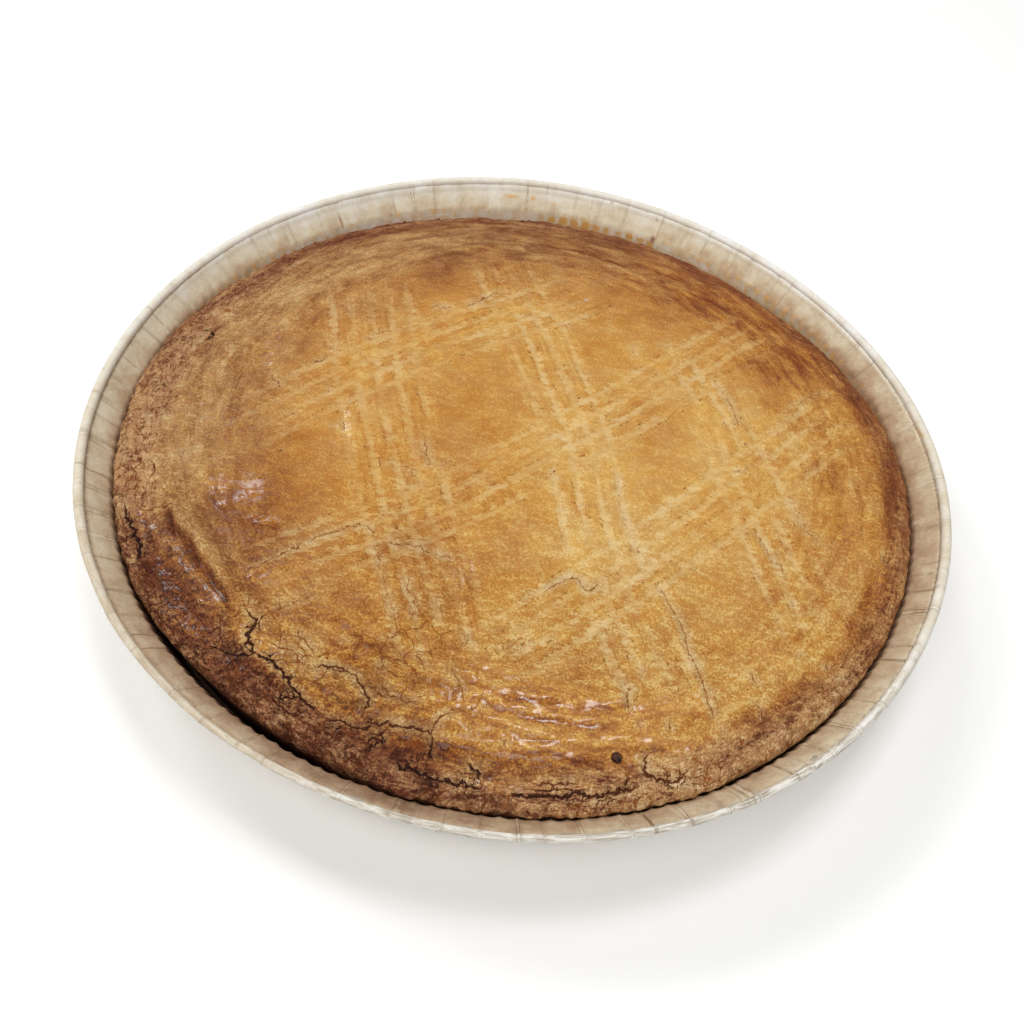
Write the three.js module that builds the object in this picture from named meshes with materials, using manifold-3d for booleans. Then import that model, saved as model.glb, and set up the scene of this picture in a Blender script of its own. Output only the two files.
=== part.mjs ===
// Basque cake, baked and sold in its fluted paper case.
// Millimetres, +Z up. The origin is the centre of the case's underside, and -Y is the near side.

import * as THREE from 'three';
import Module from 'manifold-3d';

const wasm = await Module();
wasm.setup();

// ---- Driving dimensions of the paper case ----

const RIM_HEIGHT = 28.9;            // centre of the rolled rim above the table
const ROLL_RADIUS = 1.3;            // the rim's roll, seen end on
const ROLL_CENTRE = 113.3;          // distance of the roll's centre from the axis
const BRIM_INNER = 106.5;           // inner edge of the smooth brim
const BRIM_DROP = 5.8;              // how far the brim falls from the roll to its inner edge
const BASE_RADIUS = 100.3;          // inside of the case at its floor
const PAPER = 0.8;                  // folded paper, two plies and their creases
const FLUTES = 180;
const FLUTE_DEPTH = 0.6;            // from the top of a flute to its valley; they start at the floor inside
const BRIM_PANELS = 90;             // flat facets pressed into brim and roll, one for every two flutes

// The paper rim is not quite round: [waves in a turn, outward offset, direction in degrees].
const RIM_WAVES = [[2, 0.16, 180], [3, 0.37, -56], [4, 0.3, 76], [5, 0.23, 45]];

// ---- Driving dimensions of the cake ----

const CREST_HEIGHT = 31.0;          // middle of the crust above the table
const DOME_FLATNESS = 2.5;          // exponents of the dome: flat on top, then a tight shoulder
const SHOULDER_SHARPNESS = 0.278;

// Height where the crust turns down into the side, [direction in degrees, height]: least on the far side.
const SHOULDER_HEIGHTS = [[10, 22.6], [30, 20.4], [50, 17.6], [105, 17.4], [140, 19.5], [180, 23.0], [330, 23.0]];
const CAKE_GAP = 0.4;               // baked side to the flutes
const FLOOR_GAP = 0.3;              // underside to the case's floor

// Long rolls and furrows of the crust: [from, to] in degrees, [radius, radius], height, half-width.
const ROLLS = [
  { turn: [198, 238], radius: [97, 89], height: 0.9, width: 4.5 },      // lip above the dark slump
  { turn: [200, 240], radius: [101, 97], height: -0.9, width: 3.5 },    // the slump itself
  { turn: [100, 150], radius: [82, 84], height: 0.7, width: 5 },        // far left roll
  { turn: [40, 96], radius: [89, 82], height: -0.7, width: 3.5 },       // far fold
  { turn: [258, 300], radius: [79, 82], height: 0.6, width: 4 },        // near wrinkles
  { turn: [250, 306], radius: [89, 91], height: 0.7, width: 3.5 },
  { turn: [330, 380], radius: [93, 95], height: 0.6, width: 4 },        // right shoulder
];

// ---- Driving dimensions of the fork scoring ----

const TINE_PITCH = 5.5;
const TINE_DEPTH = 0.5;
const TINE_WIDTH = 2.2;             // width of one score line at the crust
const SCORE_STEP = 32;              // length of one straight stretch of a score line
const SCORED_RADIUS = 94;           // the fork lifts off before the shoulder

// Each pull of the fork: its middle line over the crust and the lines it leaves.
const PULLS = [
  { lines: 4, path: [[-75, -14], [-39, 22], [-1, 52], [16, 66]] },
  { lines: 4, path: [[-61, -60], [-17, -28], [32, 22], [67, 62]] },
  { lines: 4, path: [[-1, -72], [36, -34], [89, 30]] },
  { lines: 5, path: [[-53, 55], [-40, 8], [-23, -39], [-6, -78]] },
  { lines: 4, path: [[-17, 75], [11, 11], [25, -39], [42, -77]] },
  { lines: 4, path: [[39, 44], [58, 1], [80, -57]] },
];

const TURN = 2 * Math.PI;
const wave = ([count, offset, heading], turn) =>
  offset * Math.cos(count * turn - THREE.MathUtils.degToRad(heading));

// ---- Solids of stacked rings ----

// A ring is a closed loop of points about Z: how many, and [radius, height] for each angle.
function ringPoints({ count, at }) {
  return Array.from({ length: count }, (_, i) => {
    const turn = TURN * i / count;
    const [radius, height] = at(turn, i);
    return [radius * Math.cos(turn), radius * Math.sin(turn), height];
  });
}

// Joins two rings whose counts are equal or multiples of each other.
function joinRings(lower, upper, faces) {
  const coarse = Math.min(lower.count, upper.count);
  const fine = Math.max(lower.count, upper.count) / coarse;
  const half = Math.floor(fine / 2);
  for (let j = 0; j < coarse; j++) {
    const step = (ring, k) => ring.start + (ring.count === coarse ? j + k : j * fine + k) % ring.count;
    if (fine === 1) {
      faces.push(step(lower, 0), step(lower, 1), step(upper, 1));
      faces.push(step(lower, 0), step(upper, 1), step(upper, 0));
    } else if (lower.count === coarse) {
      faces.push(step(lower, 0), step(lower, 1), step(upper, half));
      for (let k = 0; k < fine; k++) {
        faces.push(step(lower, k < half ? 0 : 1), step(upper, k + 1), step(upper, k));
      }
    } else {
      faces.push(step(lower, half), step(upper, 1), step(upper, 0));
      for (let k = 0; k < fine; k++) {
        faces.push(step(lower, k), step(lower, k + 1), step(upper, k < half ? 0 : 1));
      }
    }
  }
}

// A closed solid from the middle of its underside, out through the rings, to the middle on top.
function ringSolid(rings, underside, top) {
  const points = [[0, 0, underside]];
  const placed = rings.map((ring) => {
    const start = points.length;
    points.push(...ringPoints(ring));
    return { start, count: ring.count };
  });
  points.push([0, 0, top]);
  const faces = [];
  const first = placed[0];
  const last = placed[placed.length - 1];
  for (let i = 0; i < first.count; i++) {
    faces.push(0, first.start + (i + 1) % first.count, first.start + i);
  }
  for (let k = 1; k < placed.length; k++) {
    joinRings(placed[k - 1], placed[k], faces);
  }
  for (let i = 0; i < last.count; i++) {
    faces.push(last.start + i, last.start + (i + 1) % last.count, points.length - 1);
  }
  return solidGeometry(points.flat(), faces);
}

function solidGeometry(positions, faces) {
  const geometry = new THREE.BufferGeometry();
  geometry.setAttribute('position', new THREE.BufferAttribute(new Float32Array(positions), 3));
  geometry.setIndex(faces);
  return geometry;
}

function toManifold(geometry) {
  return new wasm.Manifold(new wasm.Mesh({
    numProp: 3,
    vertProperties: new Float32Array(geometry.attributes.position.array),
    triVerts: new Uint32Array(geometry.index.array),
  }));
}

// ---- Paper case ----

const BRIM_HEIGHT = RIM_HEIGHT - BRIM_DROP;

// The rim's unevenness dies out towards the flat floor.
function rimWave(turn, height) {
  const share = Math.min(1, height / RIM_HEIGHT) ** 2;
  return share * RIM_WAVES.reduce((sum, each) => sum + wave(each, turn), 0);
}

// Inside of the wall, midway between the flutes' tops and valleys.
function wallRadius(turn, height) {
  const share = (height - PAPER) / (BRIM_HEIGHT - PAPER);
  return THREE.MathUtils.lerp(BASE_RADIUS, BRIM_INNER, share) + rimWave(turn, height);
}

function flutedRing(height, thickness) {
  return {
    count: 2 * FLUTES,
    at: (turn, i) => {
      const flute = (i % 2 ? -0.5 : 0.5) * FLUTE_DEPTH;
      return [wallRadius(turn, height) + thickness + flute, height];
    },
  };
}

function panelRing(radius, height) {
  return { count: BRIM_PANELS, at: (turn) => [radius + rimWave(turn, height), height] };
}

function rollRing(degrees) {
  const around = THREE.MathUtils.degToRad(degrees);
  const radius = ROLL_CENTRE + ROLL_RADIUS * Math.cos(around);
  return panelRing(radius, RIM_HEIGHT + ROLL_RADIUS * Math.sin(around));
}

function paperCase() {
  const brimSlope = Math.atan2(BRIM_DROP, ROLL_CENTRE - ROLL_RADIUS - BRIM_INNER);
  const underBrim = PAPER * Math.sin(brimSlope);
  const brimUnderside = BRIM_HEIGHT - PAPER * Math.cos(brimSlope);
  const rings = [
    flutedRing(0, PAPER),
    flutedRing(brimUnderside - PAPER, PAPER),
    panelRing(BRIM_INNER + underBrim + PAPER, brimUnderside),
    ...[-110, -45, 15, 75, 135, 203].map(rollRing),
    panelRing(BRIM_INNER + FLUTE_DEPTH / 2, BRIM_HEIGHT + PAPER),
    flutedRing(BRIM_HEIGHT, 0),
    panelRing(BASE_RADIUS - FLUTE_DEPTH / 2, PAPER),
  ];
  return ringSolid(rings, 0, PAPER);
}

// ---- Cake ----

function cakeSide(turn, height) {
  return wallRadius(turn, height) - FLUTE_DEPTH / 2 - CAKE_GAP;
}

// The shoulder eases from each direction's height to the next one's.
function shoulderHeight(turn) {
  const degrees = THREE.MathUtils.radToDeg(turn);
  const count = SHOULDER_HEIGHTS.length;
  for (let i = 0; i < count; i++) {
    const [from, low] = SHOULDER_HEIGHTS[i];
    const [to, high] = SHOULDER_HEIGHTS[(i + 1) % count];
    const span = THREE.MathUtils.euclideanModulo(to - from, 360);
    const along = THREE.MathUtils.euclideanModulo(degrees - from, 360);
    if (along < span) {
      return THREE.MathUtils.lerp(low, high, THREE.MathUtils.smoothstep(along / span, 0, 1));
    }
  }
  return SHOULDER_HEIGHTS[0][1];
}

// How much of a roll is felt at a place: full along its crest, none past its ends or its width.
function rollShare(roll, turn, radius) {
  const [from, to] = roll.turn.map(THREE.MathUtils.degToRad);
  const along = THREE.MathUtils.euclideanModulo(turn - from, TURN) / (to - from);
  if (along > 1) {
    return 0;
  }
  const crest = THREE.MathUtils.lerp(roll.radius[0], roll.radius[1], along);
  const across = (radius - crest) / roll.width;
  return Math.sin(Math.PI * along) ** 0.7 * Math.exp(-across * across);
}

function crustHeight(turn, radius) {
  const shoulder = shoulderHeight(turn);
  const reach = Math.min(1, radius / cakeSide(turn, shoulder));
  const dome = (1 - reach ** DOME_FLATNESS) ** SHOULDER_SHARPNESS;
  const relief = ROLLS.reduce((sum, roll) => sum + roll.height * rollShare(roll, turn, radius), 0);
  return shoulder + (CREST_HEIGHT - shoulder) * dome + relief * Math.min(1, dome * 2);
}

function crustRing(count, reach) {
  return {
    count,
    at: (turn) => {
      const radius = reach * cakeSide(turn, shoulderHeight(turn));
      return [radius, crustHeight(turn, radius)];
    },
  };
}

function sideRing(height, inset) {
  return { count: 72, at: (turn) => [cakeSide(turn, height) - inset, height] };
}

function unscoredCake() {
  const underside = PAPER + FLOOR_GAP;
  const bottomRound = 1.2;
  const rings = [
    sideRing(underside, bottomRound),
    sideRing(underside + bottomRound, 0),
    ...[1, 0.994, 0.974, 0.94, 0.9, 0.86].map((reach) => crustRing(72, reach)),
    ...[0.81, 0.74].map((reach) => crustRing(36, reach)),
    crustRing(12, 0.5),
  ];
  return ringSolid(rings, underside, CREST_HEIGHT);
}

// One score line: a three-sided bar along the line, point down, that opens above the crust.
function scoreBar(line) {
  const opening = TINE_WIDTH;
  const stations = line.map((point, i) => {
    const before = line[Math.max(0, i - 1)];
    const after = line[Math.min(line.length - 1, i + 1)];
    const across = new THREE.Vector2().subVectors(after, before).normalize();
    across.set(-across.y, across.x).multiplyScalar(opening);
    const crust = crustHeight(point.angle(), point.length());
    return [
      [point.x + across.x, point.y + across.y, crust + TINE_DEPTH],
      [point.x, point.y, crust - TINE_DEPTH],
      [point.x - across.x, point.y - across.y, crust + TINE_DEPTH],
    ];
  });
  const faces = [0, 1, 2];
  for (let i = 0; i + 1 < stations.length; i++) {
    for (let k = 0; k < 3; k++) {
      const here = 3 * i + k;
      const next = 3 * i + (k + 1) % 3;
      faces.push(here, here + 3, next, next, here + 3, next + 3);
    }
  }
  const end = 3 * (stations.length - 1);
  faces.push(end, end + 2, end + 1);
  return solidGeometry(stations.flat(2), faces);
}

// The lines that one pull leaves, side by side, cut off where the fork lifts from the crust.
function scoreLines({ lines, path }) {
  const middle = new THREE.SplineCurve(path.map(([x, y]) => new THREE.Vector2(x, y)));
  const steps = Math.ceil(middle.getLength() / SCORE_STEP);
  return Array.from({ length: lines }, (_, tine) => {
    const offset = (tine - (lines - 1) / 2) * TINE_PITCH;
    return Array.from({ length: steps + 1 }, (_, i) => {
      const ahead = middle.getTangentAt(i / steps);
      const aside = new THREE.Vector2(-ahead.y, ahead.x).multiplyScalar(offset);
      return middle.getPointAt(i / steps).add(aside);
    }).filter((point) => point.length() < SCORED_RADIUS);
  });
}

function cake() {
  let solid = toManifold(unscoredCake());
  for (const line of PULLS.flatMap(scoreLines)) {
    solid = solid.subtract(toManifold(scoreBar(line)));
  }
  const mesh = solid.getMesh();
  return solidGeometry(mesh.vertProperties, Array.from(mesh.triVerts));
}

// ---- Scene graph ----

function part(name, geometry, material) {
  geometry.computeVertexNormals();
  const mesh = new THREE.Mesh(geometry, new THREE.MeshStandardMaterial({ metalness: 0, ...material }));
  mesh.name = name;
  return mesh;
}

const basqueCake = new THREE.Group();
basqueCake.name = 'basque_cake';
basqueCake.add(part('paper_case', paperCase(), { color: 0xd0c3ad, roughness: 0.85 }));
basqueCake.add(part('cake', cake(), { color: 0xc28c49, roughness: 0.55 }));

export default basqueCake;
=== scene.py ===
import itertools
import math
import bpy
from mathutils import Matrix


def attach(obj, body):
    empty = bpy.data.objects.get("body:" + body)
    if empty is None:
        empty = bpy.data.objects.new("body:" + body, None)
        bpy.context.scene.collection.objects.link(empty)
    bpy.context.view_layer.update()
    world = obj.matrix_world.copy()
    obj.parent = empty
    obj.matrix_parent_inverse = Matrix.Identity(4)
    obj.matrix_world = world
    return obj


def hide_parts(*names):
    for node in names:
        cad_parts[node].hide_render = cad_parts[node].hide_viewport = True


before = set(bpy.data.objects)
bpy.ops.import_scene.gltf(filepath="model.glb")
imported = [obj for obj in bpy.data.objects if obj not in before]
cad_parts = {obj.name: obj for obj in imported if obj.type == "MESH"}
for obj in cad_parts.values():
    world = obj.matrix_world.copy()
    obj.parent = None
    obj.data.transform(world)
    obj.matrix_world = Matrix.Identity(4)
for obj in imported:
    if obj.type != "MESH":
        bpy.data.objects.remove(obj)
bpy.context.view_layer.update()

from types import SimpleNamespace

import bmesh
import bpy
import numpy as np
from mathutils import Matrix, Vector

# Basque cake in its fluted paper case. Sizes are millimetres until a mesh is made; -Y is the near side,
# and directions are degrees round the cake from +X.
MM = 0.001
TURN = 2 * math.pi

# ---- Sizes of the paper case ----

RIM_HEIGHT = 28.9                 # centre of the rolled rim
ROLL_RADIUS = 1.3
ROLL_CENTRE = 113.3               # its distance from the axis
BRIM_INNER = 106.5
BRIM_HEIGHT = 23.1                # height of the brim's inner edge
BASE_RADIUS = 100.3
FLOOR_PAPER = 0.8
FLUTES = 180
FLUTE_DEPTH = 0.6
BRIM_PANELS = 90
RIM_WAVES = [(2, 0.16, 180), (3, 0.37, -56), (4, 0.3, 76), (5, 0.23, 45)]   # count, offset, degrees

# ---- Sizes of the cake ----

CREST_HEIGHT = 31.0
SHOULDER_HEIGHTS = [(10, 22.6), (30, 20.4), (50, 17.6), (105, 17.4), (140, 19.5), (180, 23.0), (330, 23.0)]
DOME_FLATNESS = 2.5
SHOULDER_SHARPNESS = 0.278
UNDERSIDE = 1.1
CAKE_INSET = 0.7                  # from the middle of the flutes to the baked side

# Rolls and furrows: from and to in degrees, radius at each end, height, half-width.
ROLLS = [
    (198, 238, 97, 89, 0.9, 4.5),      # lip above the dark slump
    (200, 240, 101, 97, -0.9, 3.5),    # the slump itself
    (100, 150, 82, 84, 0.7, 5),        # far left roll
    (40, 96, 89, 82, -0.7, 3.5),       # far fold
    (258, 300, 79, 82, 0.6, 4),        # near wrinkles
    (250, 306, 89, 91, 0.7, 3.5),
    (330, 380, 93, 95, 0.6, 4),        # right shoulder
]

# Folds in the skin: step height, half-width of the step, reach, how dark the painted shade at its foot is (a
# painted highlight runs along its crest too), and route. The left of the route stands higher.
FOLDS = [
    (1.7, 0.6, 5.0, 0.75, [
        (-88, -37), (-84, -41), (-79, -47), (-73, -53), (-67, -60), (-61, -67), (-57, -71)]),
    (0.7, 0.7, 3.0, 0.5, [(57, 66), (48, 70), (38, 74), (27, 77), (12, 82), (-6, 84)]),
    (0.5, 0.7, 3.0, 0.4, [(81, 48), (76, 50), (72, 54), (69, 56)]),
    (0.4, 0.7, 3.0, 0.25, [(-46, 63), (-36, 69), (-25, 75), (-15, 78)]),
    (0.5, 0.7, 2.5, 0.25, [(-67, 42), (-72, 32), (-74, 22), (-77, 12)]),
    (0.4, 0.7, 2.0, 0.2, [(-80, -28), (-75, -35), (-70, -39), (-64, -38)]),
    (0.55, 1.3, 3.0, 0.5, [(-4, -84), (8, -88), (20, -89.5), (30, -88), (40, -86), (48, -81)]),
    (0.55, 1.2, 3.0, 0.45, [(-6, -80), (4, -83), (14, -84), (24, -83.5), (36, -81)]),
    (0.5, 1.1, 2.6, 0.4, [(4, -91), (12, -92.5), (22, -92), (30, -91)]),
    (0.5, 1.2, 2.6, 0.3, [(-10, -75), (2, -79), (14, -80), (26, -79), (40, -75)]),
    (0.4, 1.1, 2.4, 0.2, [(-8, -71), (4, -75), (14, -76), (24, -75)]),
    (0.5, 0.8, 2.5, 0.25, [(64, -70), (68, -65), (71, -60)]),
    (0.5, 0.9, 2.5, 0.3, [(88, -22), (90, -12), (90, -2), (88, 8)]),
]

# ---- Fork scoring: lines left by each pull and the middle of its path ----

TINE_PITCH = 5.5
LINE_CORE = 0.6                   # half-width of a line's flat floor
LINE_EDGE = 1.45                  # half-width to the outside of its banks
SCORED_RADIUS = 93
PULLS = [
    (4, [(-75, -14), (-39, 22), (-1, 52), (16, 66)]),
    (4, [(-61, -60), (-17, -28), (32, 22), (67, 62)]),
    (4, [(-1, -72), (36, -34), (89, 30)]),
    (5, [(-53, 55), (-40, 8), (-23, -39), (-6, -78)]),
    (4, [(-17, 75), (11, 11), (25, -39), (42, -77)]),
    (4, [(39, 44), (58, 1), (80, -57)]),
]

# ---- Cracks in the crust: width and route ----

CRACKS = [
    (0.9, [(-58, -67), (-54, -70), (-55, -74), (-53, -78), (-48, -80), (-43, -84), (-41, -87), (-35, -91)]),
    (0.8, [(-65, -79), (-62, -78), (-58, -79), (-52, -78)]),
    (0.55, [(-57.5, -67), (-57.5, -64), (-56, -63)]),
    (0.5, [(-63, -69), (-62, -74), (-62, -78)]),
    (0.45, [(-52, -67), (-50, -66), (-47, -64), (-44, -62), (-42, -59)]),
    (0.4, [(-51, -62), (-50, -65), (-49, -68)]),
    (0.5, [(-46, -70), (-42, -74), (-39, -77)]),
    (0.45, [(-36, -70), (-33, -72), (-31, -74)]),
    (0.7, [(-40, -79), (-34, -79), (-30, -80), (-27, -83), (-25, -86), (-26, -90)]),
    (0.5, [(-24, -81), (-21, -84), (-17, -85), (-13, -84)]),
    (0.5, [(-23, -74), (-23, -76), (-24, -80)]),
    (0.5, [(-19, -72), (-16, -74), (-13, -77)]),
    (0.45, [(-51, -75), (-46, -76), (-42, -79), (-41, -81)]),
    (0.7, [(-26, -90), (-22, -91), (-16, -91), (-10, -92), (-9.5, -96), (-8, -99)]),
    (0.6, [(-10, -92), (-9, -88), (-5, -85)]),
    (0.7, [(-35, -92), (-30, -92), (-25, -93), (-22, -90)]),
    (0.7, [(-48.5, -88), (-45.5, -90.5), (-42.5, -92.5), (-39, -94.5)]),
    (0.8, [(-35, -94.5), (-30.5, -97)]),
    (0.8, [(-32, -95.5), (-29, -93)]),
    (0.8, [(-24, -97), (-23, -95), (-21, -94)]),
    (0.8, [(-47, -90), (-43.5, -88.5), (-41, -87.5), (-37, -90), (-35.5, -89)]),
    (0.7, [(-20, -91), (-21, -95), (-24, -99)]),
    (1.0, [(87.2, 43), (87.9, 43)]),
    (0.5, [(-42, -93), (-35, -95), (-28, -97)]),
    (0.7, [(-93, -26), (-91, -29), (-91, -33)]),
    (0.9, [(-95, -40), (-93, -44), (-90, -48), (-87, -52), (-86, -57)]),
    (0.5, [(-90, -44), (-88, -42), (-84, -41), (-80, -41)]),
    (0.45, [(-48, -2), (-47, -7), (-46, -10)]),
    (0.4, [(-52, -9), (-50, -8), (-48, -8)]),
    (0.4, [(-63, -8), (-61, -6), (-58, -5)]),
    (0.45, [(-55, 5), (-52, 6)]),
    (0.9, [(-61.5, -18.6), (-60.3, -18)]),
    (0.45, [(-76, -24), (-74, -22), (-70, -21)]),
    (0.5, [(-26, -6), (-24, -13), (-22, -18)]),
    (0.35, [(-36, -19), (-33, -18), (-28, -18), (-26, -22)]),
    (0.4, [(-22, -17), (-18, -14), (-16, -12)]),
    (0.5, [(-62, -59), (-57, -54), (-52, -50), (-48, -46), (-44, -43), (-38, -39), (-34, -39), (-32, -42)]),
    (0.4, [(-32, -42), (-30, -48), (-26, -58), (-23, -65)]),
    (0.5, [(-30, -42), (-26, -43), (-21, -42), (-19, -44), (-14, -44), (-11, -46)]),
    (0.45, [(-23, -50), (-21, -56), (-19, -61), (-20, -65)]),
    (0.3, [(-15, -54), (-14, -60), (-12, -65)]),
    (0.35, [(-11, -45), (-10, -50), (-9, -55)]),
    (0.4, [(-8, -63), (-5.5, -67), (-8, -70)]),
    (0.45, [(-9, -74), (-7, -77), (-5, -81), (-4, -84)]),
    (0.3, [(0, -78), (1, -83), (3, -86)]),
    (0.3, [(1, -70), (4, -67), (8, -63)]),
    (0.55, [(10, -51), (12, -48), (15, -46), (18, -45), (21, -48), (24, -44)]),
    (0.5, [(38, -42), (40, -47), (44, -53), (46, -60), (49, -67), (51, -73), (53, -78)]),
    (0.35, [(25, -56), (28, -62)]),
    (0.3, [(10, -11), (10, -16), (12, -21), (14, -26)]),
    (0.8, [(9.5, -10.5), (9, -13)]),
    (0.3, [(26, -8), (27, -15), (28, -22), (32, -32), (36, -39)]),
    (0.45, [(62, -20), (65, -25), (68, -30), (70, -35)]),
    (0.5, [(71, -40), (72, -43)]),
    (0.5, [(72.5, -54), (73.5, -57)]),
    (0.6, [(79, -56), (80, -59)]),
    (0.4, [(72, -6), (73, -11), (76, -18), (80, -21)]),
    (0.6, [(95, -19), (97, -22), (99, -20)]),
    (0.5, [(31, -69), (32.5, -75), (33, -80)]),
    (0.5, [(35, -81), (36, -83)]),
    (0.5, [(42, -79), (42.5, -83)]),
    (0.4, [(60, -62), (62, -65), (63, -68)]),
    (0.5, [(61, -71), (65, -74), (68, -74)]),
    (0.5, [(54, -79), (56, -80)]),
    (0.8, [(39, -87.5), (37, -90), (38, -92.5), (41, -93), (44.5, -92), (47.5, -89.5)]),
    (0.85, [(8, -101.5), (15.5, -101), (22.5, -99.5), (29.5, -98), (36.5, -95)]),
    (0.75, [(-18, -99), (-11, -100.3), (-5, -101), (4, -101.3)]),
    (0.6, [(13, -99), (19, -98.2), (24, -97)]),
    (0.5, [(6, -90), (6.5, -93)]),
    (0.9, [(-1.5, -96), (1.5, -99.5), (2.5, -101)]),
    (0.7, [(-9.5, -93), (-9.5, -98)]),
    (0.5, [(-33, 44), (-31, 46), (-25, 46.5)]),
    (0.55, [(-23, 47), (-18, 52), (-15, 56), (-12, 55)]),
    (0.45, [(-49, 26), (-47, 28), (-44, 31), (-41, 32)]),
    (0.5, [(-61, 14), (-58, 17), (-55, 19)]),
    (0.5, [(-56, 24), (-56.5, 21.5)]),
    (0.6, [(-75, 12), (-73, 11), (-71, 12)]),
    (0.6, [(-72, 8), (-69, 7), (-66, 2.5)]),
    (1.2, [(-91, 25), (-90, 22), (-91.5, 19)]),
    (0.7, [(-95, 19.5), (-94, 15)]),
    (0.5, [(-86, 20), (-84.5, 18), (-83, 15)]),
    (0.4, [(25, 41), (27, 40), (29, 37)]),
    (0.35, [(5, 49), (7, 47), (8, 43)]),
    (0.3, [(33, 42), (36, 44), (39, 42)]),
    (0.45, [(50, 34), (52.5, 30), (54, 27), (56, 22), (58, 15)]),
    (0.4, [(72, 27), (77, 32), (84, 38)]),
    (0.9, [(57, -1), (58.5, -0.5)]),
    (0.7, [(-18.5, 52), (-17, 53)]),
]

# Ragged plates that the crust breaks into, and the smaller ones of the crumbly rim: size, width of the
# joints, seed.
PLATES = (6.0, 0.48, 61)
RIM_PLATES = (3.0, 0.6, 63)

# ---- Baking: 0 is palest gold, 1 is burnt ----

# By direction: where the browning begins, how far it goes, and how much further on the very rim.
EDGE_BAKE = {
    0: (58, 0.16, 0.27), 40: (35, 0.31, 0.18), 70: (37, 0.37, 0.02), 100: (40, 0.41, 0.01),
    125: (35, 0.21, 0.23), 160: (35, 0.1, 0.04), 195: (35, -0.03, -0.06), 222: (55, 0.23, -0.06),
    245: (35, -0.05, 0.21), 262: (38, 0.15, 0.09), 285: (68, 0.03, -0.04), 310: (67, -0.1, 0.09),
    340: (52, 0.16, 0.08),
}

# By direction: the radius where the skin gives way to rough, bare crumb.
ROUGH_FROM = {
    20: (95,), 60: (90,), 120: (92,), 170: (88,), 205: (92,), 235: (91,), 265: (95,), 300: (93,), 330: (96,),
}

EDGE_RADIUS = 94                  # where the browning of the edge is full
BASE_BAKE = 0.4
LEAN_BAKE = 0.073                 # one side stood nearer the heat: more there and less opposite, 50 mm out
LEAN_HEADING = 215

# Unevenly browned places: x, y, half-width, half-depth, degrees, how much darker.
PATCHES = [
    (22, -30, 28, 30, 0, -0.05), (-80, -58, 19, 6, -48, 0.08), (-67, -57, 11, 2.0, -52, -0.12),
    (-52, -84, 9, 4, -25, 0.14), (-61, -36, 13, 14, 20, 0.08), (-71, -36, 4, 3, 40, 0.12),
    (-62, -14, 6, 4, 20, 0.06), (-34, 58, 10, 9, 20, 0.1), (-32, 69, 9, 3, 35, 0.14),
    (-66, 27, 6, 12, 12, 0.09), (-70, 4, 7, 4, -10, 0.06), (20, 36, 11, 6, -10, 0.06),
    (-8, -53, 5, 6, 0, 0.08), (-32, -64, 7, 5, 0, 0.1), (-26, -72, 8, 2, -15, 0.12),
    (68, 43, 12, 7, 30, 0.1), (44, 64, 14, 5, -15, 0.12), (51, 69, 6, 2, -25, 0.12),
    (75, 51, 6, 1.6, -30, 0.14), (0, 83.5, 8, 1.5, -4, 0.12), (30, 76, 5, 1.4, -20, 0.12),
    (44, 85, 12, 5, -30, 0.06), (20, 94, 14, 5, -12, 0.08), (62, -75, 5, 3, 10, 0.22),
    (72, -68, 8, 3.5, 42, 0.22), (88, -45, 3.5, 7, -25, 0.16), (94, -33, 3, 6, -15, 0.14),
    (86, 5, 6, 8, 0, 0.08), (100, 8, 3, 9, 0, 0.06), (26, -93, 9, 2.5, 5, 0.12), (-12, -97, 9, 3, 0, 0.16),
    (10, -96, 8, 2, 0, 0.1), (-30, -82, 13, 8, -60, 0.13), (-21, -46, 15, 10, -65, 0.13),
    (-70, -14, 20, 9, -75, 0.1), (-47, 43, 11, 6, 20, 0.1), (63, -47, 8, 6, -35, 0.1),
    (-13, -17, 20, 7, -45, 0.08), (37, 21, 20, 9, 80, 0.07), (32, 55, 9, 6, 55, 0.07),
    (86, 33, 8, 4, -70, -0.13), (-2, 80, 12, 7, -38, -0.12), (0, -84, 12, 9, 0, -0.11),
    (-53, -70, 9, 6, 65, -0.11), (29, 78, 8, 5, 10, -0.1), (79, -49, 6, 4, 55, -0.1),
    (22, -36, 14, 10, 0, -0.09), (-78, -36, 7, 4, 90, -0.1), (-43, 64, 11, 4, 25, -0.08),
    (-72, 40, 16, 6, 85, -0.08), (10, -80, 5, 4, 0, 0.15), (26, -83, 5, 4, -10, 0.12),
    (65, 45, 11, 3, 45, 0.1), (-2, 15, 13, 4, -45, 0.08), (83, -7, 18, 6, -70, 0.08),
    (-60, 59, 6, 4, 75, 0.1), (8, -93, 8, 2, 0, -0.11), (51, 61, 7, 4, 20, -0.1),
    (0, -63, 11, 7, -20, -0.08),
]

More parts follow.
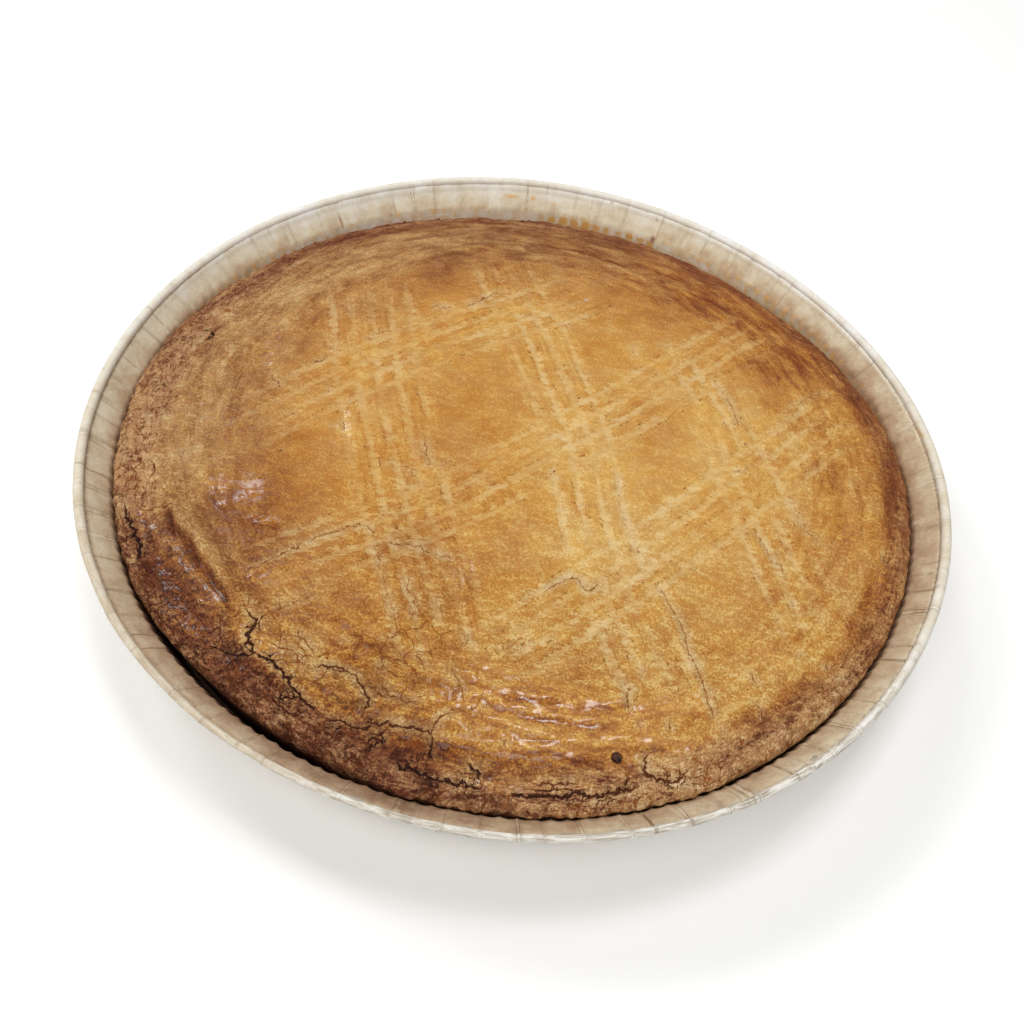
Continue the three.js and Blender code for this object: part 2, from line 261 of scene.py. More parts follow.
# Where the wash lies thick and shines: x, y, half-width, half-depth, degrees, how glossy.
GLAZED = [
    (-88, -45, 5, 3, -55, 0.7), (-77, -61, 8, 4, -42, 0.6), (-73, -71, 6, 3, -40, 0.6),
    (-58, -82, 6, 3, -30, 0.6), (1, -74, 6, 2, 20, 0.7), (20, -80, 10, 2, 0, 0.6), (33, -79, 8, 2, 8, 0.5),
    (22, -98, 8, 1.2, 4, 0.6), (17, -84, 26, 8, 0, 0.6), (-65, -32, 3, 3.5, 20, 0.7),
    (-73, -32, 2.5, 3, 10, 0.6), (-69, -37, 4, 1.5, 30, 0.7), (-82, -53, 6, 3, -45, 0.5),
    (-68, -64, 6, 3, -45, 0.6), (-66, -75, 6, 3, -40, 0.5), (-73, 22, 1.8, 10, 8, 0.8),
    (-46, -6, 2.5, 8, -8, 0.8), (57, 34, 4, 1.2, 40, 1), (25, -83, 11, 1.2, -2, 1), (8, -79, 7, 2, 20, 1),
    (-3, -82, 3, 1.5, 30, 1), (12, -86, 10, 1.5, -4, 0.9), (34, -86, 9, 1, 10, 1), (15, -91, 9, 1.2, 3, 1),
    (44, -75, 6, 2.5, 10, 1), (65, -58, 5, 2, -20, 0.9), (94, -29, 1.2, 5, -15, 0.9),
    (87, -15, 2, 6, -10, 0.7), (45, -85, 4, 1.5, 20, 0.8), (-52, -76, 6, 2, -30, 0.7),
    (-9, -48, 3, 4, 0, 0.5), (-33, 65, 1.2, 4, 20, 0.8), (4, -100.5, 9, 1, 0, 0.9),
    (65, 37, 5, 1.5, 20, 0.5), (-58, -58, 3, 3, 0, 0.6), (-60, -41, 4, 1.2, 0, 0.7),
]

rng = np.random.default_rng(17)


# ---- Small tools ----

def to_linear(colour):
    """sRGB hex such as "#C88A3D" to linear RGBA."""
    channels = [int(colour[i:i + 2], 16) / 255 for i in (1, 3, 5)]
    return [c / 12.92 if c <= 0.04045 else ((c + 0.055) / 1.055) ** 2.4 for c in channels] + [1.0]


def add(tree, kind, *inputs, **settings):
    """Adds a node of a kind, which may bring a setting along. Settings are its properties, or the stops of
    its ramp. Inputs are values, nodes or sockets: in the order of its sockets, or in a dictionary by their
    names."""
    if isinstance(kind, tuple):
        kind, setting, value = kind
        settings[setting] = value
    node = tree.nodes.new(kind)
    for name, value in settings.items():
        if name == "stops":
            ramp = node.color_ramp
            for place, _ in value[1:-1]:
                ramp.elements.new(place)
            ramp.elements[0].position, ramp.elements[-1].position = value[0][0], value[-1][0]
            for element, (_, colour) in zip(ramp.elements, value):
                element.color = to_linear(colour)
        else:
            setattr(node, name, value)
    live = [socket for socket in node.inputs if socket.enabled]
    given = inputs[0] if inputs and isinstance(inputs[0], dict) else dict(enumerate(inputs))
    for key, value in given.items():
        socket = live[key] if isinstance(key, int) else next(s for s in live if s.name == key)
        if isinstance(value, bpy.types.Node):
            value = next(s for s in value.outputs if s.enabled)
        if isinstance(value, bpy.types.NodeSocket):
            tree.links.new(value, socket)
        else:
            socket.default_value = value
    return node


# Kinds of node. Where one always has the same setting, that goes with it.
MATH, VECTOR, RANGE = "ShaderNodeMath", "ShaderNodeVectorMath", "ShaderNodeMapRange"
NOISE, RAMP, LAYER = "ShaderNodeTexNoise", "ShaderNodeValToRGB", "ShaderNodeAttribute"
JOIN, SPLIT = "ShaderNodeCombineXYZ", "ShaderNodeSeparateXYZ"
STORE, SAMPLE = "GeometryNodeStoreNamedAttribute", "GeometryNodeSampleIndex"
PLUS, MINUS, TIMES, OVER, TIMES_PLUS, SIZE_OF, LARGER = (
    (MATH, "operation", operation) for operation in (
        "ADD", "SUBTRACT", "MULTIPLY", "DIVIDE", "MULTIPLY_ADD", "ABSOLUTE", "MAXIMUM"))
EASE = (RANGE, "interpolation_type", "SMOOTHSTEP")
MIX = ("ShaderNodeMix", "data_type", "RGBA")
NAMED = ("GeometryNodeInputNamedAttribute", "data_type", "FLOAT")


def chain(tree, kind, result, *others):
    """The same kind of node again and again: the result so far with each of the others in turn."""
    for other in others:
        result = add(tree, kind, result, other)
    return result


def smooth(low, high, value):
    """Eases from 0 at low to 1 at high, which may lie below low."""
    share = np.clip((value - low) / (high - low), 0, 1)
    return share * share * (3 - 2 * share)


def bell(distance, width):
    """1 at no distance, falling off over the width."""
    return np.exp(-(distance / width) ** 2)


def tapered(length, total, over):
    """1 along a route, fading to 0 over a stretch at each end."""
    return smooth(0, over, length) * smooth(0, over, total - length)


def towards(turn, heading):
    """1 towards a heading and -1 away from it."""
    return np.cos(turn - math.radians(heading))


def within(degrees, sector):
    """1 inside a sector and 0 outside: where it opens, is open, begins to close and is closed."""
    opens, opened, closes, closed = sector
    return smooth(opens, opened, degrees) * smooth(closed, closes, degrees)


def lumps(points, size, seed):
    """Smooth noise from about -1 to 1 whose lumps are size millimetres across."""
    table = np.random.default_rng(seed)
    order = np.tile(table.permutation(256), 2)
    slopes = table.normal(size=(256, 3))
    slopes /= np.linalg.norm(slopes, axis=1)[:, None]
    place = points / size
    cell = np.floor(place).astype(int)
    inside = place - cell
    ease = inside ** 3 * (inside * (inside * 6 - 15) + 10)
    total = np.zeros(len(points))
    for corner in itertools.product((0, 1), repeat=3):
        x, y, z = ((cell + corner) & 255).T
        slope = slopes[order[order[order[x] + y] + z]]
        weight = np.prod(np.where(corner, ease, 1 - ease), axis=1)
        total += weight * np.einsum("ij,ij->i", slope, inside - corner)
    return 1.6 * total


def layered(places, *layers):
    """Layers of lumps added up: amount, size and seed of each."""
    return sum(amount * lumps(places / size, 1, seed) for amount, size, seed in layers)


def at_level(flat, level):
    """Flat places as places in space, all at one level, to draw lumps of their own for each line or set."""
    return np.column_stack([flat, np.full(len(flat), level)])


def walked_along(route):
    """Length from the start of a route to each of its points."""
    return np.concatenate([[0], np.cumsum(np.linalg.norm(np.diff(route, axis=0), axis=1))])


def curve_through(points, step):
    """A smooth curve through the points, as places about step millimetres apart."""
    knots = np.array(points, float)
    knots = np.vstack([2 * knots[0] - knots[1], knots, 2 * knots[-1] - knots[-2]])
    fine = []
    for a, b, c, d in zip(knots, knots[1:], knots[2:], knots[3:]):
        t = np.linspace(0, 1, 24, endpoint=False)[:, None]
        fine.append(0.5 * (2 * b + (c - a) * t + (2 * a - 5 * b + 4 * c - d) * t ** 2
                           + (3 * b - a - 3 * c + d) * t ** 3))
    fine = np.vstack(fine + [knots[-2:-1]])
    length = walked_along(fine)
    even = np.linspace(0, length[-1], max(2, int(length[-1] / step) + 1))
    return np.stack([np.interp(even, length, axis) for axis in fine.T], axis=1)


def beside(route, offset):
    """The route moved sideways, to its left, by an offset of one value or one per point."""
    ahead = np.gradient(route, axis=0)
    ahead /= np.linalg.norm(ahead, axis=1)[:, None]
    return route + np.stack([-ahead[:, 1], ahead[:, 0]], axis=1) * np.reshape(offset, (-1, 1))


def near_route(points, route, reach):
    """For the points within reach of a route: which they are, signed distance, and length along it."""
    low, high = route.min(axis=0) - reach, route.max(axis=0) + reach
    chosen = np.flatnonzero(np.all((points > low) & (points < high), axis=1))
    spots = points[chosen]
    best = np.full(len(spots), 1e9)
    side = np.zeros(len(spots))
    along = np.zeros(len(spots))
    walked = 0.0
    for start, end in zip(route, route[1:]):
        step = end - start
        length = np.linalg.norm(step)
        share = np.clip((spots - start) @ step / length ** 2, 0, 1)
        gap = spots - start - share[:, None] * step
        distance = np.hypot(*gap.T)
        closer = distance < best
        best[closer] = distance[closer]
        turned = step[0] * (spots[:, 1] - start[1]) - step[1] * (spots[:, 0] - start[0])
        side[closer] = np.sign(turned[closer])
        along[closer] = (walked + share * length)[closer]
        walked += length
    keep = best < reach
    return chosen[keep], (best * side)[keep], along[keep], walked


def spread(flat, places):
    """Sum of soft oval patches (x, y, half-width, half-depth, degrees, amount)."""
    total = np.zeros(len(flat))
    for x, y, half_wide, half_deep, degrees, amount in places:
        c, s = math.cos(math.radians(degrees)), math.sin(math.radians(degrees))
        right, up = flat[:, 0] - x, flat[:, 1] - y
        reach = np.hypot((right * c + up * s) / half_wide, (up * c - right * s) / half_deep)
        total += amount * (1 - smooth(0.3, 1.6, reach))
    return total


def by_direction(table, turn):
    """Rows of a table keyed by degrees, joined by straight lines round the circle."""
    angles = sorted(table)
    rows = np.array([table[angle] for angle in angles], float)
    return [np.interp(np.degrees(turn), angles, column, period=360) for column in rows.T]


def plain_mesh(name, points, faces):
    mesh = bpy.data.meshes.new(name)
    mesh.from_pydata((np.asarray(points) * MM).tolist(), [], faces)
    mesh.polygons.foreach_set("use_smooth", [True] * len(mesh.polygons))
    mesh.update()
    piece = bpy.data.objects.new(name, mesh)
    bpy.context.scene.collection.objects.link(piece)
    return piece


def give(piece, name, values):
    layer = piece.data.attributes.get(name) or piece.data.attributes.new(name, "FLOAT", "POINT")
    layer.data.foreach_set("value", np.asarray(values, np.float32))


def read(piece, name):
    values = np.zeros(len(piece.data.vertices), np.float32)
    piece.data.attributes[name].data.foreach_get("value", values)
    return values.astype(float)


def vectors_of(piece, kind):
    """The co or the normal of each vertex."""
    values = np.zeros(len(piece.data.vertices) * 3, np.float32)
    piece.data.vertices.foreach_get(kind, values)
    return values.reshape(-1, 3)


def places_of(piece):
    """The piece's vertices in millimetres."""
    return vectors_of(piece, "co").astype(float) / MM


def grown(piece, tree, **inputs):
    """Runs a Geometry Nodes tree on a piece and makes the result its plain mesh."""
    modifier = piece.modifiers.new(tree.name, "NODES")
    modifier.node_group = tree
    for item in tree.interface.items_tree:
        key = item.name.lower().replace(" ", "_")
        if item.in_out == "INPUT" and key in inputs:
            modifier[item.identifier] = inputs[key]
    seen = piece.evaluated_get(bpy.context.evaluated_depsgraph_get())
    mesh = bpy.data.meshes.new_from_object(seen)
    piece.modifiers.clear()
    piece.data = mesh
    return piece


def new_tree(name, sockets):
    """A Geometry Nodes tree with a geometry in and out and the named inputs."""
    tree = bpy.data.node_groups.new(name, "GeometryNodeTree")
    tree.interface.new_socket("Geometry", in_out="OUTPUT", socket_type="NodeSocketGeometry")
    tree.interface.new_socket("Geometry", in_out="INPUT", socket_type="NodeSocketGeometry")
    for socket, kind in sockets.items():
        tree.interface.new_socket(socket, in_out="INPUT", socket_type="NodeSocket" + kind)
    return tree, add(tree, "NodeGroupInput").outputs


def finished(tree, geometry, material):
    """Ends a Geometry Nodes tree: real geometry of one material."""
    real = add(tree, "GeometryNodeRealizeInstances", {"Geometry": geometry})
    dressed = add(tree, "GeometryNodeSetMaterial", {"Geometry": real, "Material": material})
    add(tree, "NodeGroupOutput", {"Geometry": dressed})


def new_material(name):
    material = bpy.data.materials.new(name)
    material.use_nodes = True
    material.node_tree.nodes.clear()
    return material, material.node_tree


# ---- Shape shared with the solids ----

def rim_wave(turn, height):
    """The rim is not quite round, and less so further down."""
    waves = sum(offset * towards(count * turn, heading) for count, offset, heading in RIM_WAVES)
    return np.clip(height / RIM_HEIGHT, 0, 1) ** 2 * waves


def plain_wall(height):
    """Radius of the case's wall before the rim's waves."""
    return BASE_RADIUS + (BRIM_INNER - BASE_RADIUS) * (height - FLOOR_PAPER) / (BRIM_HEIGHT - FLOOR_PAPER)


def wall_radius(turn, height):
    return plain_wall(height) + rim_wave(turn, height)


def shoulder_height(turn):
    """Height of the crust's shoulder, least on the far side."""
    degrees = np.degrees(turn) % 360
    height = np.zeros_like(degrees)
    for (start, low), (stop, high) in zip(SHOULDER_HEIGHTS, SHOULDER_HEIGHTS[1:] + SHOULDER_HEIGHTS[:1]):
        span = (stop - start) % 360
        along = (degrees - start) % 360 / span
        height = np.where(along <= 1, low + (high - low) * smooth(0, 1, along), height)
    return height


def roll_share(start, stop, inner, outer, width, turn, radius):
    """How much of a roll's height each place has."""
    along = np.degrees(turn - math.radians(start)) % 360 / (stop - start)
    crest = inner + (outer - inner) * along
    fade = np.sin(math.pi * np.clip(along, 0, 1)) ** 0.7
    return fade * bell(radius - crest, width)


def crust_shape(turn, radius):
    """Height of the crust, and its relief alone."""
    shoulder = shoulder_height(turn)
    reach = np.minimum(1, radius / (wall_radius(turn, shoulder) - CAKE_INSET))
    dome = (1 - reach ** DOME_FLATNESS) ** SHOULDER_SHARPNESS
    relief = sum(height * roll_share(start, stop, inner, outer, width, turn, radius)
                 for start, stop, inner, outer, height, width in ROLLS)
    relief = relief * np.minimum(1, dome * 2)
    return shoulder + (CREST_HEIGHT - shoulder) * dome + relief, relief


# ---- Crust ----

CRUST_CELLS = 300                 # across the grid of concentric squares that becomes the round top
SIDE_ROWS = [(15.5, 0), (12.5, 0), (8.0, 0), (2.3, 0), (UNDERSIDE, 1.2), (UNDERSIDE, 40)]   # height, inset
DOME_RISE, DOME_REACH = 10.5, 105 # near enough to space the grid evenly along the dome
SIDE_FROM, SIDE_TO = 101, 104.5   # radius where the top turns into the side
KNEE_RADIUS = 102.5               # past it the skin turns down and rises little
ROUGHEST, CRACKLED, DRIEST = 245, 236, 145      # headings of the crumbly edge, the crackle, the thin wash
NEAR_LEAN = (252, 266, 296, 312)  # sector of the near edge that leans out over the brim
SLUMP = (216, 234, 246, 263)      # beside it, the slump that has shrunk from the paper
CRUST_MARKS = (
    "bake", "dust", "gloss", "pressed", "gap", "band", "across", "along", "crack", "crack_width", "joint",
    "joint_width", "rough", "outer", "coarse")


def disc_grid(cells):
    """Share of the way out and turn for the points of a square grid pressed into a disc."""
    line = np.linspace(-1, 1, cells + 1)
    a, b = (axis.ravel() for axis in np.meshgrid(line, line, indexing="ij"))
    steep = np.abs(b) > np.abs(a)
    reach = np.where(steep, b, a)
    slope = np.divide(np.where(steep, a, b), reach, out=np.zeros_like(a), where=reach != 0)
    turn = np.where(steep, math.pi / 2 - math.pi / 4 * slope, math.pi / 4 * slope)
    turn = np.where(reach < 0, turn + math.pi, turn) % TURN
    return np.abs(reach), turn


def crust_points():
    """Points and faces of the whole baked cake: crust, side and underside."""
    share, turn = disc_grid(CRUST_CELLS)
    steps = np.sort(np.concatenate([1 - np.linspace(0, 1, 4000) ** 3, np.linspace(0, 1, 2000)]))
    heights = DOME_RISE * (1 - steps ** DOME_FLATNESS) ** SHOULDER_SHARPNESS
    walked = walked_along(np.column_stack([steps * DOME_REACH, heights]))
    reach = np.interp(share * walked[-1], walked, steps)
    radius = reach * (wall_radius(turn, shoulder_height(turn)) - CAKE_INSET)
    points = [np.stack([radius * np.cos(turn), radius * np.sin(turn), crust_shape(turn, radius)[0]], axis=1)]

    row = CRUST_CELLS + 1
    corner = (np.arange(CRUST_CELLS)[:, None] * row + np.arange(CRUST_CELLS)).ravel()
    faces = np.stack([corner, corner + row, corner + row + 1, corner + 1], axis=1).tolist()
    ring = np.flatnonzero(share > 1 - 1e-9)
    ring = ring[np.argsort(turn[ring])]
    rim_turn = turn[ring]
    count = len(ring)
    start = row * row
    for height, inset in SIDE_ROWS:
        out = wall_radius(rim_turn, height) - CAKE_INSET - inset
        level = np.full(count, height)
        points.append(np.stack([out * np.cos(rim_turn), out * np.sin(rim_turn), level], axis=1))
        below = start + np.arange(count)
        faces += np.stack([ring, below, np.roll(below, -1), np.roll(ring, -1)], axis=1).tolist()
        ring = below
        start += count
    points.append(np.array([[0, 0, UNDERSIDE]]))
    faces += np.stack([ring, np.full(count, start), np.roll(ring, -1)], axis=1).tolist()
    return np.vstack(points), faces


def scoring(flat):
    """The fork's marks: how hard the nearest line is pressed, its distance, lengths across and along the
    pull, and the share of a whole pull's band."""
    pressed, across, along, band = (np.zeros(len(flat)) for _ in range(4))
    gap = np.full(len(flat), 9.0)
    for number, (lines, path) in enumerate(PULLS):
        middle = curve_through(path, 1.5)
        spots = at_level(middle, 7.0 * number)
        middle = beside(middle, 0.5 * lumps(spots, 26, 31))
        half = (lines / 2 + 0.1) * TINE_PITCH
        chosen, side, length, total = near_route(flat, middle, half + 2)
        share = (1 - smooth(half - 2, half + 1.5, np.abs(side))) * tapered(length, total, 9)
        wins = share > band[chosen]
        across[chosen[wins]] = side[wins] + 40 * number
        along[chosen[wins]] = length[wins] + 200 * number
        band[chosen] = np.maximum(band[chosen], share)
        for tine in range(lines):
            offset = (tine - (lines - 1) / 2) * TINE_PITCH
            wobble = 0.45 * lumps(spots + (0, 0, 3.1 * tine + 1), 11, 37)
            chosen, side, length, total = near_route(flat, beside(middle, offset + wobble), 4)
            press = 0.62 + 0.75 * lumps(at_level(flat[chosen], 9.0 * tine), 17, 41)
            press *= tapered(length, total, 12)
            press *= 1 - smooth(SCORED_RADIUS - 7, SCORED_RADIUS, np.hypot(*flat[chosen].T))
            side = np.abs(side) + 1.2 * (1 - np.clip(press * 2.5, 0, 1))
            closer = side < gap[chosen]
            gap[chosen[closer]] = side[closer]
            pressed[chosen[closer]] = np.clip(press[closer], 0, 1)
    return pressed, gap, across, along, band


def plates(flat, size, seed):
    """Signed distance to the nearest joint between ragged plates about size millimetres across."""
    spots = at_level(flat, 3.0 * seed)
    bend = np.column_stack([lumps(spots, 0.6 * size, seed), lumps(spots, 0.6 * size, seed + 20)])
    bent = flat / size + 0.2 * bend
    seats = np.random.default_rng(seed).uniform(0.1, 0.9, (64, 64, 2))
    cell = np.floor(bent).astype(int)
    first, second = np.full(len(flat), 9.0), np.full(len(flat), 9.0)
    own, other = np.zeros(len(flat), int), np.zeros(len(flat), int)
    for step in itertools.product((-1, 0, 1), repeat=2):
        seat = (cell + step) % 64
        label = seat[:, 0] * 64 + seat[:, 1]
        reach = np.hypot(*(bent - cell - step - seats[seat[:, 0], seat[:, 1]]).T)
        nearer = reach < first
        between = ~nearer & (reach < second)
        second = np.where(nearer, first, np.where(between, reach, second))
        other = np.where(nearer, own, np.where(between, label, other))
        first, own = np.where(nearer, reach, first), np.where(nearer, label, own)
    return np.where(own > other, 0.5, -0.5) * (second - first) * size


def cracking(flat):
    """Cracks: signed distance to the nearest one and its width there."""
    distance = np.full(len(flat), 9.0)
    width = np.zeros(len(flat))
    for wide, path in CRACKS:
        route = curve_through(path, 0.9) if len(path) > 2 else np.array(path, float)
        if len(route) > 3:
            kinks = rng.normal(0, 0.32, len(route))
            kinks[[0, -1]] = 0
            route = beside(route, kinks)
        chosen, side, length, total = near_route(flat, route, 3)
        here = wide * (0.35 + 0.65 * tapered(length, total, min(3.0, total / 2)))
        closer = np.abs(side) < np.abs(distance[chosen])
        distance[chosen[closer]] = side[closer]
        width[chosen[closer]] = (here * (1 - smooth(1.2, 2.4, np.abs(side))))[closer]
    width *= 1 + 0.3 * smooth(78, 92, np.hypot(*flat.T)) * smooth(0.2, 0.8, low_left(flat))
    return distance, width


def jointing(flat, crackle, rough):
    """The finer net of joints between plates: signed distance to the nearest joint and its width there."""
    distance = np.full(len(flat), 9.0)
    width = np.zeros(len(flat))
    for chosen, region, (size, wide, seed) in (
            (rough < 0.3, crackle, PLATES), (rough >= 0.3, rough, RIM_PLATES)):
        joint = plates(flat[chosen], size, seed)
        spots = at_level(flat[chosen], 9.0 * seed)
        here = wide * region[chosen] * smooth(-0.35, 0.25, lumps(spots, 2.2 * size, seed + 1))
        distance[chosen] = joint
        width[chosen] = here * (1 - smooth(1.0, 2.2, np.abs(joint)))
    return distance, width


def folding(flat):
    """Folds in the skin: lift of the upper side, and painted shade below each step less a painted highlight
    along its crest.
    """
    lift = np.zeros(len(flat))
    line = np.zeros(len(flat))
    for number, (step, soft, reach, dark, path) in enumerate(FOLDS):
        route = curve_through(path, 1.5)
        route = beside(route, 1.1 * lumps(at_level(route, 5.0 * number), 7, 43))
        chosen, side, length, total = near_route(flat, route, 3 * reach)
        ends = tapered(length, total, 10)
        rise = smooth(-soft, soft, side) * bell(np.maximum(side, 0), reach)
        rise = rise - 0.3 * bell(side + 1.2 * soft, 1.3 * soft)
        lift[chosen] += step * ends * rise
        # Painted shade at the foot of the step, and a painted highlight along its crest.
        shade = smooth(0.4, -0.4, side) * bell(np.minimum(side + 0.4, 0), 0.28 * reach)
        crest = 0.22 * bell(side - 0.3 * reach, 0.2 * reach)
        line[chosen] += dark * ends * (shade - crest)
    return lift, line


def low_left(flat):
    """How far each place lies towards the edge that crumbles most, 1 at 100 millimetres."""
    return flat @ (-0.47, -0.88) / 100


def survey(points):
    """Where each point of the crust lies and what marks it bears, before any of it is raised."""
    flat = points[:, :2]
    radius = np.hypot(*flat.T)
    turn = np.arctan2(flat[:, 1], flat[:, 0]) % TURN
    here = SimpleNamespace(points=points, flat=flat, radius=radius, turn=turn, degrees=np.degrees(turn))
    here.pressed, here.gap, here.across, here.along, here.band = scoring(flat)
    here.fold_lift, here.fold_line = folding(flat)
    here.crack, here.crack_width = cracking(flat)
    here.glazed = np.clip(spread(flat, GLAZED), 0, 1)
    (rough_from,) = by_direction(ROUGH_FROM, turn)
    here.rough = smooth(0, 8, radius - rough_from) * (0.7 + 0.3 * towards(turn, ROUGHEST))
    here.rough = here.rough * (1 - 0.7 * here.glazed)
    crackle = smooth(48, 68, radius) * smooth(0.55, 0.95, towards(turn, CRACKLED))
    here.joint, here.joint_width = jointing(flat, crackle, here.rough)
    here.outer = smooth(58, 84, radius) * (1 + 0.4 * smooth(-20, 60, flat[:, 1]))
    # Places measured round the cake and outwards, for what is drawn out along the rim.
    here.around = np.column_stack([flat / np.maximum(radius, 1)[:, None] * 90, radius])
    near = smooth(-40, -75, flat[:, 1]) * smooth(60, 30, np.abs(flat[:, 0] - 28))
    here.wrinkle = near * 0.7 * (np.abs(lumps(here.around / (12, 12, 3.8), 1, 5)) - 0.3)
    return here


def raising(here):
    """How far the skin stands up from the cake's plain shape, in millimetres."""
    swell = layered(here.points, (0.32, 16, 1), (0.13, 5.5, 2))
    grain = layered(here.points, (0.06, 2.2, 3), (0.035, 1.4, 4))
    drawn = here.outer * layered(here.around, (0.22, (9, 9, 2.6), 21), (0.12, (5, 5, 1.7), 22))
    blister = layered(here.points, (0.13, 2.6, 10)) + layered(here.around, (0.2, (6, 6, 1.5), 23))
    blister = here.glazed * blister
    crumb = layered(here.around, (0.5, (4.5, 4.5, 2.2), 6)) + layered(here.points, (0.5, 1.7, 7)) - 0.1
    crumb = here.rough * crumb * (1 + 0.5 * smooth(0.7, 0.95, low_left(here.flat)))
    line = (1 - smooth(LINE_CORE, LINE_EDGE, here.gap)) * here.pressed
    press = -0.28 * line + 0.08 * here.band * bell(here.gap - 2.1, 0.7)
    split, curl = 0.0, 0.0
    for distance, width in ((here.crack, here.crack_width), (here.joint, here.joint_width)):
        split = split - 0.5 * width * bell(distance, 0.6)
        curl = curl + 0.3 * width * bell(np.abs(distance) - 1.5, 0.8)
    side = smooth(SIDE_FROM, SIDE_TO, here.radius)
    lift = (swell + here.fold_lift) * (1 - 0.8 * side)
    lift = lift + grain + drawn + here.wrinkle + blister + crumb + press + split + curl
    return np.where(here.radius > KNEE_RADIUS, np.minimum(lift, 0.15), lift)


def browning(here, points, shrink):
    """How far each place has baked, 0 pale gold to 1 burnt, with painted shade and highlight laid in along
    the folds and painted shade on the side in the slump's gap.
    """
    begins, amount, rim = by_direction(EDGE_BAKE, here.turn)
    bake = BASE_BAKE + LEAN_BAKE * here.radius / 50 * towards(here.turn, LEAN_HEADING)
    bake = bake + amount * smooth(0, 1, (here.radius - begins) / (EDGE_RADIUS - begins))
    bake = bake + rim * smooth(91, 101, here.radius)
    bake = bake + spread(here.flat, PATCHES) + layered(points, (0.05, 18, 8), (0.04, 6, 9))
    bake = bake - 0.04 * here.band - 0.08 * crust_shape(here.turn, here.radius)[1]
    # Paler on the wrinkles' crests and darker in their troughs; along each fold, its painted shade and
    # painted highlight.
    bake = bake - 0.35 * here.wrinkle + 0.42 * here.fold_line
    bake = bake + 0.1 * here.outer * layered(here.around, (1, (15, 15, 3.6), 24))
    bake = bake - 0.11 * np.clip(here.crack_width * 1.6, 0, 1) * bell(here.crack, 1.6)
    # The side is baked brown; where the slump has shrunk from the paper it is darker still: painted shade in
    # the gap.
    side = 0.8 + 0.25 * smooth(0.5, 1.3, shrink)
    return np.where(points[:, 2] < shoulder_height(here.turn) - 0.5, side, bake)


def finishing(here):
    """How bare of wash each place is, how glossy, and how coarse its crumb."""
    bared = np.clip(here.crack_width * 1.6, 0, 1) * bell(np.maximum(np.abs(here.crack) - 0.6, 0), 1.3)
    dust = 0.12 + 0.8 * smooth(48, 92, here.radius) * smooth(-0.3, 0.8, towards(here.turn, DRIEST))
    dust = np.maximum(np.maximum(dust, here.rough * 0.8), 0.8 * bared) - 0.3 * here.glazed
    gloss = 0.15 + 0.95 * here.glazed + 0.1 * smooth(60, 80, here.radius)
    gloss = np.clip(gloss * (1 - here.rough * 0.8), 0, 1)
    x, y = here.flat.T
    coarse = 1 + 1.1 * smooth(0, -85, y) + 0.5 * smooth(-50, -90, x) + 0.5 * smooth(65, 95, x)
    coarse = coarse + 0.2 * smooth(50, 92, here.radius) * smooth(-30, 30, y)
    return dust, gloss, coarse + 0.4 * smooth(0.7, 0.95, low_left(here.flat))


def make_crust(material):
    points, faces = crust_points()
    piece = plain_mesh("baked_crust", points, faces)
    normals = vectors_of(piece, "normal")
    here = survey(points)
    lift = raising(here) * smooth(-0.3, 0.1, normals[:, 2])
    points = points + normals * lift[:, None]

    # The near edge leans out over the brim; beside it the slump has shrunk away from the paper.
    lean = 1.3 * within(here.degrees, NEAR_LEAN) * smooth(23.2, 24.3, points[:, 2])
    lean = lean * smooth(98, 103, here.radius) * (0.8 + 0.35 * lumps(points, 9, 12))
    shrink = 1.5 * within(here.degrees, SLUMP) * smooth(94, 103, here.radius)
    points[:, :2] *= (1 + (lean - shrink) / np.maximum(here.radius, 1))[:, None]
    piece.data.vertices.foreach_set("co", (points * MM).ravel())
    piece.data.update()

    here.bake = browning(here, points, shrink)
    here.dust, here.gloss, here.coarse = finishing(here)
    for name in CRUST_MARKS:
        give(piece, name, getattr(here, name))
    piece.data.materials.append(material)
    return piece


# ---- Materials ----

def marks_of(tree, names):
    """The layers that a piece carries for its material, by name."""
    return SimpleNamespace(**{name: add(tree, LAYER, attribute_name=name).outputs["Fac"] for name in names})


